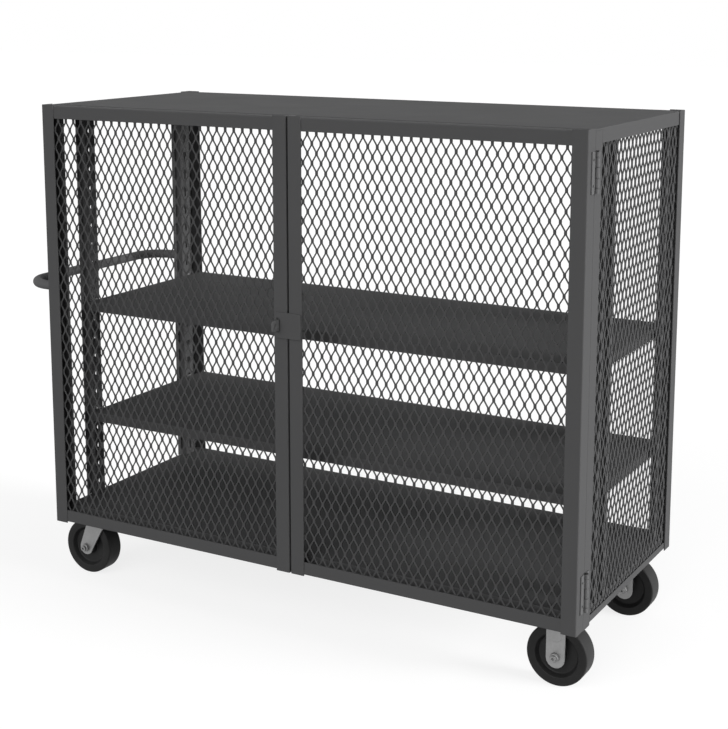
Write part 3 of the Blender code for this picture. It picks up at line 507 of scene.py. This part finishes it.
def expanded_net(low, high, origin, sizes):
    """Net of expanded metal as (u, v, depth), a little larger than a rectangle.

    Holes lie on a staggered grid, half a pitch apart each way. Each hole is a hexagon with
    upright sides, its corners at (pitch/2 - strand, flat/2) and (0, long pitch/2 - bond/2),
    and each cell reaches to the middle of the strands round it. A ring of faces fills
    every cell between the hole's outline and the cell's edge. The strands lean: the
    outline's depth is -lean on one side of the hole and +lean on the other."""
    half_u, half_v = sizes.short_pitch / 2, sizes.long_pitch / 2
    side, tip = half_u - sizes.strand, half_v - sizes.bond / 2
    middle_u, middle_v = side / 2 + sizes.bulge, (sizes.flat / 2 + tip) / 2 + sizes.bulge
    turn = (sizes.flat + sizes.bond) / 4
    quarter = np.array([
        [side, 0, -sizes.lean, half_u, 0, 0],
        [side, sizes.flat / 2, -sizes.lean, half_u, turn, 0],
        [middle_u, middle_v, -sizes.lean, half_u / 2, half_v / 2, 0],
        [0, tip, 0, 0, half_v - turn, 0],
    ])
    ring = np.concatenate([
        quarter,
        quarter[-2::-1] * [-1, 1, -1, -1, 1, 1],
        quarter[1:] * [-1, -1, -1, -1, -1, 1],
        quarter[-2:0:-1] * [1, -1, 1, 1, -1, 1],
    ])
    first = np.floor((np.asarray(low) - origin) / [half_u, half_v]).astype(int) - 1
    last = np.ceil((np.asarray(high) - origin) / [half_u, half_v]).astype(int) + 1
    i, j = np.meshgrid(*(np.arange(a, b + 1) for a, b in zip(first, last)), indexing="ij")
    holes = (i + j) % 2 == 1
    centres = np.stack([i[holes] * half_u, j[holes] * half_v], axis=1) + origin
    centres = np.column_stack([centres, np.zeros(len(centres))])
    count = len(ring)
    points = centres[:, None, None, :] + ring.reshape(1, count, 2, 3)
    k = np.arange(count)
    cell = np.stack([2 * k, 2 * k + 1, 2 * k + 3, 2 * k + 2], axis=1) % (2 * count)
    faces = (np.arange(len(centres)) * 2 * count)[:, None, None] + cell[None]
    return points.reshape(-1, 3), faces.reshape(-1, 4)


def mesh_sheet(name, body, joint, sizes):
    """One sheet of expanded metal in the place of its CAD node: the net, with one of its
    joints at the given place, cut to the node's rectangle, its metal made by Solidify."""
    low, high = (np.array(corner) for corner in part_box(name))
    thin = int(np.argmin(high - low))
    along = 1 if thin == 0 else 0
    start, end = low[[along, 2]], high[[along, 2]]
    net, faces = expanded_net(start, end, np.array(joint), sizes)
    points = net[:, [2, 0, 1]] if thin == 0 else net[:, [0, 2, 1]]
    points[:, thin] += (low[thin] + high[thin]) / 2
    piece = put_mesh(name + "_expanded", points, faces, closed=False)
    bm = bmesh.new()
    bm.from_mesh(piece.data)
    for axis in (along, 2):
        for edge, sign in ((low, -1), (high, 1)):
            normal = np.zeros(3)
            normal[axis] = sign
            bmesh.ops.bisect_plane(
                bm, geom=bm.verts[:] + bm.edges[:] + bm.faces[:], dist=MICRON,
                plane_co=edge, plane_no=normal, clear_outer=True)
    bmesh.ops.recalc_face_normals(bm, faces=bm.faces)
    bm.to_mesh(piece.data)
    bm.free()
    solid = piece.modifiers.new("Thickness", "SOLIDIFY")
    solid.thickness = sizes.metal
    solid.offset = 0.0
    mounted(piece, body, COAT, name, NET)


def wheel_profile(half, radius, sizes):
    """Half section of a wheel, as (radius, distance from its middle), from the bore out to
    the middle of the tread: hub, sloping recess, rim face and rounded tread edge."""
    face = half - sizes.hub_proud
    floor, wall = face - sizes.recess, sizes.rim_radius - sizes.recess_slope
    bore, hub, rim = sizes.bore_radius, sizes.hub_radius, sizes.rim_radius
    edge, foot, dish = sizes.hub_round, 2 * sizes.hub_round, sizes.dish_round
    lip, tread = sizes.lip_round, sizes.tread_round
    return np.concatenate([
        [[bore, 0.0], [bore, half - sizes.bore_round], [bore + sizes.bore_round, half]],
        arc_points((hub - edge, half - edge), edge, 90, 0, 3),
        arc_points((hub + foot, floor + foot), foot, 180, 270, 4),
        arc_points((wall - dish, floor + dish), dish, 270, 340, 6),
        arc_points((rim + lip, face - lip), lip, 160, 90, 5),
        arc_points((radius - tread, face - tread), tread, 90, 0, 8),
        [[radius, 0.0]],
    ])


def wheel(name, sizes):
    """A wheel turned about its axle: the half section and its mirror image as one closed
    outline, carried round. The tread attribute is 1 on the rolling face, else 0."""
    low, high = (np.array(corner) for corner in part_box(name))
    centre, half, radius = (low + high) / 2, (high[1] - low[1]) / 2, (high[2] - low[2]) / 2
    section = wheel_profile(half, radius, sizes)
    mirrored = section[-2:0:-1] * [1, -1]
    outline = np.concatenate([section, mirrored])
    points, faces = revolved(outline, centre, (0, 1, 0), (1, 0, 0), sizes.steps, wrap=True)
    piece = put_mesh(name + "_moulded", points, faces)
    smooth(piece)
    places = np.zeros(len(piece.data.vertices) * 3)
    piece.data.vertices.foreach_get("co", places)
    away = np.linalg.norm((places.reshape(-1, 3) - centre)[:, [0, 2]], axis=1)
    rolling = np.clip((away - radius + sizes.tread_round) / sizes.tread_round, 0, 1) ** 4
    piece.data.attributes.new(TREAD, "FLOAT", "POINT").data.foreach_set("value", rolling)
    mounted(piece, name, RESIN, name)


def handle_path(low, high, tube, bend):
    """Middle line of the handle: out from the front post, round a corner, back along the
    end, round the other corner and in to the rear post. All at one height."""
    x0, x1, y0, y1 = low[0] + tube, high[0], low[1] + tube, high[1] - tube
    z = (low[2] + high[2]) / 2
    arm, bar, corner = 6, 12, 24
    flat = np.concatenate([
        np.linspace((x1, y0), (x0 + bend, y0), arm),
        arc_points((x0 + bend, y0 + bend), bend, 270, 180, corner)[1:],
        np.linspace((x0, y0 + bend), (x0, y1 - bend), bar)[1:-1],
        arc_points((x0 + bend, y1 - bend), bend, 180, 90, corner),
        np.linspace((x0 + bend, y1), (x1, y1), arm)[1:],
    ])
    return np.column_stack([flat, np.full(len(flat), z)])


def push_handle(sizes):
    """The handle's tube: a circle carried along the path, in the plane of the path's side
    direction and the vertical, with its ends closed."""
    low, high = (np.array(corner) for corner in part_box("push_handle"))
    tube = (high[2] - low[2]) / 2
    path = handle_path(low, high, tube, sizes.bend)
    along = np.gradient(path, axis=0)
    along /= np.linalg.norm(along, axis=1)[:, None]
    up = np.array([0.0, 0.0, 1.0])
    side = np.cross(along, up)
    t = np.linspace(0, 2 * math.pi, sizes.steps, endpoint=False)
    ring = tube * (np.cos(t)[None, :, None] * side[:, None, :] + np.sin(t)[None, :, None] * up)
    points = path[:, None, :] + ring
    ends = [np.repeat(path[end][None, None, :], sizes.steps, axis=1) for end in (0, -1)]
    points = np.concatenate([ends[0], points, ends[1]])
    piece = put_mesh("push_handle_tube", points, grid_faces(len(points), sizes.steps))
    smooth(piece)
    # The tube's lighter hardware tone stands in for its sheen: a painted sheen
    mounted(piece, "frame", COAT, "push_handle", finish=HARDWARE)


def weld_bead(centre, tube, sizes):
    """A weld bead round the tube's end: a ring whose own radius swells and shrinks along
    it, radius * (1 + ripple * |sin(n t / 2)|), around the X direction."""
    t, s = np.meshgrid(*(
        np.linspace(0, 2 * math.pi, steps, endpoint=False)
        for steps in (sizes.bead_steps, sizes.bead_flats)), indexing="ij")
    bead = sizes.bead * (1 + sizes.bead_ripple * np.abs(np.sin(sizes.bead_count * t / 2)))
    away = tube + bead * np.cos(s)
    places = [bead * np.sin(s), away * np.cos(t), away * np.sin(t)]
    return np.stack(places, axis=2) + np.array(centre), grid_faces(*t.shape, wrap=True)


def handle_welds(sizes):
    """The beads that hold the handle's two ends to the posts."""
    low, high = (np.array(corner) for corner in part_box("push_handle"))
    tube, z = (high[2] - low[2]) / 2, (low[2] + high[2]) / 2
    beads = [weld_bead((high[0], y, z), tube, sizes) for y in (low[1] + tube, high[1] - tube)]
    piece = put_mesh("push_handle_welds", *joined(beads))
    smooth(piece, BEAD_ANGLE)
    mounted(piece, "frame", COAT)


def bolt_head(centre, down, sizes):
    """A hexagon bolt head under a washer: a turned outline whose radius is capped by the
    hexagon on the head's rows, so that its corners are chamfered."""
    disc, seat, corner = sizes.washer_radius, sizes.washer, sizes.head_radius
    top, chamfer = seat + sizes.head, CHAMFER * sizes.head
    rim, dish, dip = corner - CHAMFER_REACH * chamfer, DISH * corner, DISH_DEPTH * chamfer
    washer = [(0, 0), (disc, 0), (disc, seat), (0, seat)]
    head = [
        (0, seat), (corner, seat), (corner, top - chamfer), (rim, top), (dish, top), (0, top - dip)]
    place = (centre, (0, 0, down), (1, 0, 0), sizes.steps)
    flat = hexagon(corner * math.cos(math.pi / 6))
    return [revolved(washer, *place), revolved(head, *place, limit=flat)]


def caster_bolts(sizes):
    """Four bolt heads under each caster plate."""
    for place, plate in CASTER_PLATES.items():
        low, high = (np.array(corner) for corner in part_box(plate))
        middle = (low + high) / 2
        under = high[2] - sizes.plate
        shapes = []
        for right in (-1, 1):
            for back in (-1, 1):
                x, y = middle[0] + right * sizes.bolt_x, middle[1] + back * sizes.bolt_y
                shapes += bolt_head((x, y, under), -1, sizes)
        piece = put_mesh(place + "_caster_bolts", *joined(shapes))
        smooth(piece)
        mounted(piece, "frame", ZINC)


def screw_head(centre, out, sizes):
    """A low screw head with a round socket, turned about the X direction. It sits at the
    foot of the leaf's hole, under the leaf's face."""
    rim, top, socket = sizes.screw_radius, sizes.screw_height, sizes.screw_socket
    edge, shoulder, foot = SCREW_EDGE * rim, SCREW_SHOULDER * top, SOCKET_FLOOR * top
    head = [
        (0, 0), (rim, 0), (rim, shoulder), (edge, top), (socket, top), (socket, foot), (0, foot)]
    return revolved(head, centre, (out, 0, 0), (0, 1, 0), sizes.steps)


def hinge_screws(sizes):
    """Two screw heads in the holes of each leaf of the four hinges."""
    for side, out in (("left", -1), ("right", 1)):
        for level in ("top", "bottom"):
            hinge = f"{side}_{level}_hinge"
            for leaf, body, sign in (("door", side + "_door", -1), ("post", "frame", 1)):
                low, high = (np.array(corner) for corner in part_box(f"{hinge}_{leaf}_leaf"))
                knuckle = np.array(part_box(f"{hinge}_pin")).mean(axis=0)
                foot = low[0] if out > 0 else high[0]
                y = knuckle[1] + sign * sizes.screw_out
                heads = []
                for rise in (sizes.screw_share, 1 - sizes.screw_share):
                    z = low[2] + (high[2] - low[2]) * rise
                    heads.append(screw_head((foot, y, z), out, sizes))
                piece = put_mesh(f"{hinge}_{leaf}_screws", *joined(heads))
                smooth(piece)
                mounted(piece, body, COAT)


def soften(part, size):
    """Rounds a CAD node's sharp edges: its loose triangles are welded, then the edges
    sharper than the bevel's angle get a narrow bevel."""
    weld = part.modifiers.new("Weld", "WELD")
    weld.merge_threshold = 2 * MICRON
    bevel = part.modifiers.new("Edges", "BEVEL")
    bevel.width = size
    bevel.segments = 2
    bevel.limit_method = "ANGLE"
    bevel.angle_limit = BEVEL_ANGLE
    bevel.harden_normals = True


# Sizes and colours

def length(label, note, default):
    """A length in metres."""
    return FloatProperty(name=label, description=note, default=default, unit="LENGTH", precision=4)


def spot(label, note, default):
    """A place in a plane, in metres."""
    return FloatVectorProperty(
        name=label, description=note, default=default, unit="LENGTH", size=2, precision=5)


def share(label, note, default):
    """A share from 0 to 1."""
    return FloatProperty(
        name=label, description=note, default=default, subtype="FACTOR", min=0, max=1)


def factor(label, note, default):
    """A factor or a strength."""
    return FloatProperty(name=label, description=note, default=default)


def angle(label, note, degrees):
    """An angle, given in degrees."""
    return FloatProperty(
        name=label, description=note, default=math.radians(degrees), subtype="ANGLE")


def number(label, note, default, least):
    """A number of steps or repeats."""
    return IntProperty(name=label, description=note, default=default, min=least)


def colour(label, note, default):
    """A colour."""
    return FloatVectorProperty(
        name=label, description=note, default=default, subtype="COLOR", size=3, min=0, max=1)


def direction(label, note, default):
    """A direction."""
    return FloatVectorProperty(
        name=label, description=note, default=default, subtype="DIRECTION")


class MeshSizes(bpy.types.PropertyGroup):
    """Sizes of the expanded metal."""

    short_pitch: length("Short pitch", "Width from diamond to diamond", 0.02527)
    long_pitch: length("Long pitch", "Height from diamond to diamond", 0.04664)
    strand: length("Strand", "Half the width of the metal where strands meet", 0.0033)
    bond: length("Bond", "Height of the joint over a diamond's point", 0.0100)
    flat: length("Flat", "Height of a diamond's upright side", 0.0078)
    bulge: length("Bulge", "How far the sloping sides bow outwards", 0.0001)
    metal: length("Metal", "Thickness of the metal", 0.0020)
    lean: length("Lean", "How far a strand's edges lean out of the sheet's middle", 0.0005)
    left_joint: spot("Left door joint", "X and Z of a joint of the left door", (-0.29992, 0.73918))
    right_joint: spot("Right door joint", "X and Z of a joint of the right door", (0.44104, 0.7408))
    end_joint: spot("End joint", "Y and Z of a joint of the end panel", (0.04305, 0.72813))


class WheelSizes(bpy.types.PropertyGroup):
    """Sizes of the wheels."""

    steps: number("Steps", "Flats round a wheel", 96, 24)
    bore_radius: length("Bore", "Radius of the hole for the axle bolt", 0.0067)
    bore_round: length("Bore edge", "Chamfer of the bore's edge", 0.0006)
    hub_radius: length("Hub", "Radius of the hub", 0.022)
    hub_proud: length("Hub proud", "How far the hub stands out of the rim's face", 0.0015)
    hub_round: length("Hub edge", "Rounding of the hub's edge", 0.0012)
    recess: length("Recess", "Depth of the recess from the rim's face", 0.013)
    recess_slope: length("Recess slope", "How far the recess's wall leans", 0.004)
    dish_round: length("Dish round", "Rounding at the foot of the recess's wall", 0.004)
    rim_radius: length("Rim", "Inner radius of the rim's face", 0.054)
    lip_round: length("Lip", "Rounding of the rim's inner edge", 0.002)
    tread_round: length("Tread edge", "Rounding of the tread's edge", 0.004)


class HandleSizes(bpy.types.PropertyGroup):
    """Sizes of the push handle and its welds."""

    bend: length("Bend", "Radius of the bends at the tube's middle line", 0.078)
    steps: number("Steps", "Flats round the tube", 40, 12)
    bead: length("Bead", "Radius of the weld bead", 0.0024)
    bead_ripple: share("Ripple", "Swelling of the bead's ripples", 0.16)
    bead_count: number("Ripples", "Ripples round the tube", 30, 4)
    bead_steps: number("Bead steps", "Points along the bead", 180, 24)
    bead_flats: number("Bead flats", "Flats round the bead itself", 10, 6)


class FastenerSizes(bpy.types.PropertyGroup):
    """Sizes of the bolts and screws."""

    steps: number("Steps", "Flats round a bolt or screw", 24, 12)
    plate: length("Plate", "Thickness of a caster's plate", 0.005)
    bolt_x: length("Bolt X", "Bolts' distance from the plate's middle, along the trolley", 0.046)
    bolt_y: length("Bolt Y", "Bolts' distance from the plate's middle, across the trolley", 0.038)
    washer: length("Washer", "Thickness of the washer", 0.0014)
    washer_radius: length("Washer radius", "Radius of the washer", 0.0088)
    head: length("Head", "Height of the bolt's head", 0.0053)
    head_radius: length("Head radius", "Corner radius of the bolt's head", 0.0078)
    screw_out: length("Screw distance", "Screws' distance from the hinge's pin", 0.01475)
    screw_share: share("Screw share", "Height of the lower screw over the leaf's", 0.19)
    screw_radius: length("Screw radius", "Radius of a screw's head", 0.0029)
    screw_height: length("Screw height", "Height of a screw's head", 0.0009)
    screw_socket: length("Screw socket", "Radius of a screw's socket", 0.0014)


class FinishColours(bpy.types.PropertyGroup):
    """Colours and textures of the finishes."""

    edge_round: length("Edges", "Width of the rounding of the steel's edges", 0.0007)
    coat: colour("Powder coat", "Colour of the powder coat", (0.077, 0.077, 0.078))
    coat_roughness: share("Coat roughness", "Roughness of the powder coat", 0.72)
    coat_swing: share("Coat swing", "How far the coat's roughness changes", 0.05)
    coat_gloss: share("Coat gloss", "Strength of the powder coat's reflection", 0.02)
    # Lighter tone of the hardware coat: lighter paint on the hinges and staple, painted sheen on
    # the push handle's tube
    hardware_paint_and_sheen_tone: factor("Hardware tone", "Smooth parts' colour over the coat's", 1.28)
    hardware_gloss: factor("Hardware gloss", "Smooth parts' gloss over the coat's", 6.0)
    net_tone: factor("Mesh tone", "Expanded metal's colour over the coat's", 0.85)
    # Pin tone darkens the hinge pins as painted shade in the gaps between the knuckles
    pin_shade_tone: factor("Pin tone", "Hinge pins' colour over the coat's", 0.3)
    coat_grain: length("Coat grain", "Size of the powder coat's texture", 0.0012)
    coat_depth: length("Coat depth", "Depth of the powder coat's texture", 0.00005)
    coat_patch: length("Coat patch", "Size of the slow patches", 0.16)
    coat_mottle: share("Coat mottle", "Strength of the slow patches", 0.04)
    coat_rubs: share("Coat rubs", "Strength of the handling marks", 0.06)
    zinc: colour("Zinc", "Colour of the zinc plate", (0.25, 0.25, 0.25))
    zinc_metal: share("Zinc metal", "How metallic the plating looks", 0.7)
    zinc_roughness: share("Zinc roughness", "Roughness of the plating", 0.49)
    zinc_swing: share("Zinc swing", "How far the plating's roughness changes", 0.07)
    zinc_depth: length("Zinc depth", "Depth of the rolling lines", 0.00002)
    zinc_patch: length("Zinc patch", "Size of the plating's stains", 0.03)
    zinc_stains: share("Zinc stains", "Strength of the plating's stains", 0.08)
    zinc_rubs: share("Zinc rubs", "Strength of the plating's handling marks", 0.15)
    bolt_tone: factor("Bolt tone", "Axle bolts' colour over the zinc's", 0.85)
    bolt_metal: share("Bolt metal", "How metallic the axle bolts look", 0.95)
    resin: colour("Resin", "Colour of the wheels' resin", (0.019, 0.019, 0.019))
    tread: colour("Tread", "Colour of the scuffed tread", (0.028, 0.028, 0.028))
    resin_roughness: share("Resin roughness", "Roughness of the resin", 0.41)
    resin_swing: share("Resin swing", "How far the resin's roughness changes", 0.05)
    resin_gloss: share("Resin gloss", "Strength of the wheels' reflection", 0.1)
    resin_grain: length("Resin grain", "Size of the resin's texture", 0.0008)
    resin_depth: length("Resin depth", "Depth of the resin's texture", 0.00003)
    resin_patch: length("Resin patch", "Size of the resin's slow patches", 0.04)
    resin_mottle: share("Resin mottle", "Strength of the resin's slow patches", 0.25)


class StageSettings(bpy.types.PropertyGroup):
    """Camera, light and floor."""

    eye: FloatVectorProperty(
        name="Camera", description="Place of the camera", default=(1.9667, -3.2573, 1.5933),
        subtype="TRANSLATION", unit="LENGTH")
    pitch: angle("Pitch", "How far the camera looks down", 9.71)
    yaw: angle("Yaw", "How far the camera turns to the left", 29.72)
    focal: factor("Focal share", "Focal length over the picture's width", FOCAL / WIDTH)
    rise: factor(
        "Shift", "Vertical shift over the picture's width", (AXIS_ROW - HEIGHT / 2) / WIDTH)
    sky: factor("Sky", "Strength of the even light from all round", 0.32)
    key: factor("Key", "Strength of the light from the right", 4.45)
    key_from: direction("Key from", "Direction the key light comes from", (0.93, 0.1, 0.26))
    key_spread: angle("Key spread", "Angle that the key light fills", 25)
    front: factor("Front", "Strength of the light from the front", 2.06)
    front_from: direction("Front from", "Direction the front light comes from", (0.0, -0.9, 0.4))
    front_spread: angle("Front spread", "Angle that the front light fills", 60)
    floor_size: length("Floor", "Side of the floor", 60.0)
    floor: colour("Floor colour", "Colour of the floor", (0.30, 0.30, 0.30))
    floor_roughness: share("Floor roughness", "Roughness of the floor", 0.9)
    floor_patch: length("Floor patch", "Size of the floor's slow patches", 1.5)
    floor_mottle: share("Floor mottle", "Strength of the floor's slow patches", 0.02)
    floor_seen: share("Floor seen", "Share of the floor's colour where the camera sees it", 0.8)
    floor_glow: factor("Floor glow", "Brightness added where the camera sees the floor", 0.8)


# Stage

def add_camera(stage):
    """The camera at the photograph's place and angle."""
    data = bpy.data.cameras.new("Photograph view")
    data.sensor_fit = "HORIZONTAL"
    data.sensor_width = SENSOR
    data.lens = stage.focal * SENSOR
    data.shift_y = stage.rise
    data.clip_end = 200.0
    camera = bpy.data.objects.new("Photograph view", data)
    camera.location = stage.eye
    camera.rotation_euler = (math.pi / 2 - stage.pitch, 0.0, stage.yaw)
    bpy.context.scene.collection.objects.link(camera)
    bpy.context.scene.camera = camera


def camera_ray(tree):
    """1 where the camera, a mirror or glass sees the surface, else 0."""
    path = tree.nodes.new("ShaderNodeLightPath")
    either = sums(tree, "MAXIMUM", path.outputs["Is Camera Ray"], path.outputs["Is Glossy Ray"])
    return sums(tree, "MAXIMUM", either, path.outputs["Is Transmission Ray"])


def add_sky(stage):
    """White where it is seen, and an even soft light elsewhere."""
    world = bpy.data.worlds.new("Studio")
    world.use_nodes = True
    tree = world.node_tree
    tree.nodes.clear()
    strength = between(tree, camera_ray(tree), 0.0, 1.0, stage.sky, 1.0)
    back = node(tree, "ShaderNodeBackground", {"Color": WHITE, "Strength": strength})
    node(tree, "ShaderNodeOutputWorld", {"Surface": back.outputs[0]})
    bpy.context.scene.world = world


def add_sun(name, strength, source, spread):
    """A soft sun that shines from the given direction."""
    data = bpy.data.lights.new(name, "SUN")
    data.energy = strength
    data.angle = spread
    lamp = bpy.data.objects.new(name, data)
    x, y, z = source
    lamp.rotation_euler = (math.atan2(math.hypot(x, y), z), 0.0, math.atan2(x, -y))
    bpy.context.scene.collection.objects.link(lamp)


def add_floor(stage):
    """A large pale floor that keeps the trolley's shadow. What the camera sees of it is
    lifted towards white by a little light of its own."""
    half = stage.floor_size / 2
    mesh = bpy.data.meshes.new("studio_floor")
    corners = [(-half, -half, 0), (half, -half, 0), (half, half, 0), (-half, half, 0)]
    mesh.from_pydata(corners, [], [(0, 1, 2, 3)])
    floor = bpy.data.objects.new("studio_floor", mesh)
    bpy.context.scene.collection.objects.link(floor)
    material, tree, position, shader = new_material("Pale floor")
    patches = placed_group(tree, "Slow patches", {
        "Position": position, "Patch": stage.floor_patch,
        "Colour": toned(stage.floor), "Amount": stage.floor_mottle})
    seen = camera_ray(tree)
    kept = between(tree, seen, 0.0, 1.0, 1.0, stage.floor_seen)
    wired(tree, shader, {
        "Base Color": vectors(tree, "SCALE", {0: patches["Colour"], "Scale": kept}),
        "Roughness": stage.floor_roughness,
        "Specular IOR Level": 0.0,
        "Emission Color": WHITE,
        "Emission Strength": sums(tree, "MULTIPLY", seen, stage.floor_glow)})
    mesh.materials.append(material)


# Operators

class TROLLEY_OT_stage(bpy.types.Operator):
    """Add the camera, the soft light and the pale floor"""

    bl_idname = "trolley.stage"
    bl_label = "Stage"

    def execute(self, context):
        stage = context.scene.trolley_stage
        add_camera(stage)
        add_sky(stage)
        add_sun("Key light", stage.key, stage.key_from, stage.key_spread)
        add_sun("Front light", stage.front, stage.front_from, stage.front_spread)
        add_floor(stage)
        context.scene.view_settings.view_transform = "Standard"
        return {"FINISHED"}


class TROLLEY_OT_frame_finish(bpy.types.Operator):
    """Give every CAD node its finish and round its sharp edges"""

    bl_idname = "trolley.frame_finish"
    bl_label = "Frame finish"

    def execute(self, context):
        colours = context.scene.trolley_colours
        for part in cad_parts.values():
            soften(part, colours.edge_round)
            slot = part.data.materials[0].name.split(".")[0]
            if slot not in MATERIAL_MAKERS:
                raise RuntimeError(f"{part.name} has no known finish")
            for end, finish in SPECIAL_FINISHES.items():
                if part.name.endswith(end):
                    slot = finish
            dressed(part, slot)
        return {"FINISHED"}


class TROLLEY_OT_mesh_sheets(bpy.types.Operator):
    """Put expanded metal in both doors and the end"""

    bl_idname = "trolley.mesh_sheets"
    bl_label = "Mesh sheets"

    def execute(self, context):
        sizes = context.scene.trolley_mesh
        for name, (body, joint) in MESH_SHEETS.items():
            mesh_sheet(name, body, getattr(sizes, joint), sizes)
        return {"FINISHED"}


class TROLLEY_OT_wheels(bpy.types.Operator):
    """Mould the four wheels"""

    bl_idname = "trolley.wheels"
    bl_label = "Wheels"

    def execute(self, context):
        for name in WHEELS:
            wheel(name, context.scene.trolley_wheels)
        return {"FINISHED"}


class TROLLEY_OT_push_handle(bpy.types.Operator):
    """Bend the push handle's tube and weld it to the posts"""

    bl_idname = "trolley.push_handle"
    bl_label = "Push handle"

    def execute(self, context):
        push_handle(context.scene.trolley_handle)
        handle_welds(context.scene.trolley_handle)
        return {"FINISHED"}


class TROLLEY_OT_fasteners(bpy.types.Operator):
    """Add the casters' bolts and the hinges' screws"""

    bl_idname = "trolley.fasteners"
    bl_label = "Fasteners"

    def execute(self, context):
        caster_bolts(context.scene.trolley_fasteners)
        hinge_screws(context.scene.trolley_fasteners)
        return {"FINISHED"}


class TROLLEY_PT_panel(bpy.types.Panel):
    """Sizes, colours and steps of the trolley"""

    bl_idname = "TROLLEY_PT_panel"
    bl_label = "Mesh shelf trolley"
    bl_space_type = "VIEW_3D"
    bl_region_type = "UI"
    bl_category = "Trolley"

    def draw(self, context):
        for operator in OPERATORS:
            self.layout.operator(operator.bl_idname)
        for name, kind in SETTINGS.items():
            box = self.layout.box()
            box.label(text=kind.__doc__)
            for field in kind.__annotations__:
                box.prop(getattr(context.scene, name), field)


SETTINGS = {
    "trolley_mesh": MeshSizes,
    "trolley_wheels": WheelSizes,
    "trolley_handle": HandleSizes,
    "trolley_fasteners": FastenerSizes,
    "trolley_colours": FinishColours,
    "trolley_stage": StageSettings,
}
OPERATORS = (
    TROLLEY_OT_stage,
    TROLLEY_OT_frame_finish,
    TROLLEY_OT_mesh_sheets,
    TROLLEY_OT_wheels,
    TROLLEY_OT_push_handle,
    TROLLEY_OT_fasteners,
)


def register():
    """Register the classes and hang the settings on the scene."""
    for kind in (*SETTINGS.values(), *OPERATORS, TROLLEY_PT_panel):
        bpy.utils.register_class(kind)
    for name, kind in SETTINGS.items():
        setattr(bpy.types.Scene, name, PointerProperty(type=kind))


def unregister():
    """Take the settings and the classes away again."""
    for name in SETTINGS:
        delattr(bpy.types.Scene, name)
    for kind in (TROLLEY_PT_panel, *reversed(OPERATORS), *SETTINGS.values()):
        bpy.utils.unregister_class(kind)


def main():
    """Make everything: register the classes, then run the operators in order."""
    register()
    for operator in OPERATORS:
        space, name = operator.bl_idname.split(".")
        getattr(getattr(bpy.ops, space), name)()


if __name__ == "__main__":
    main()
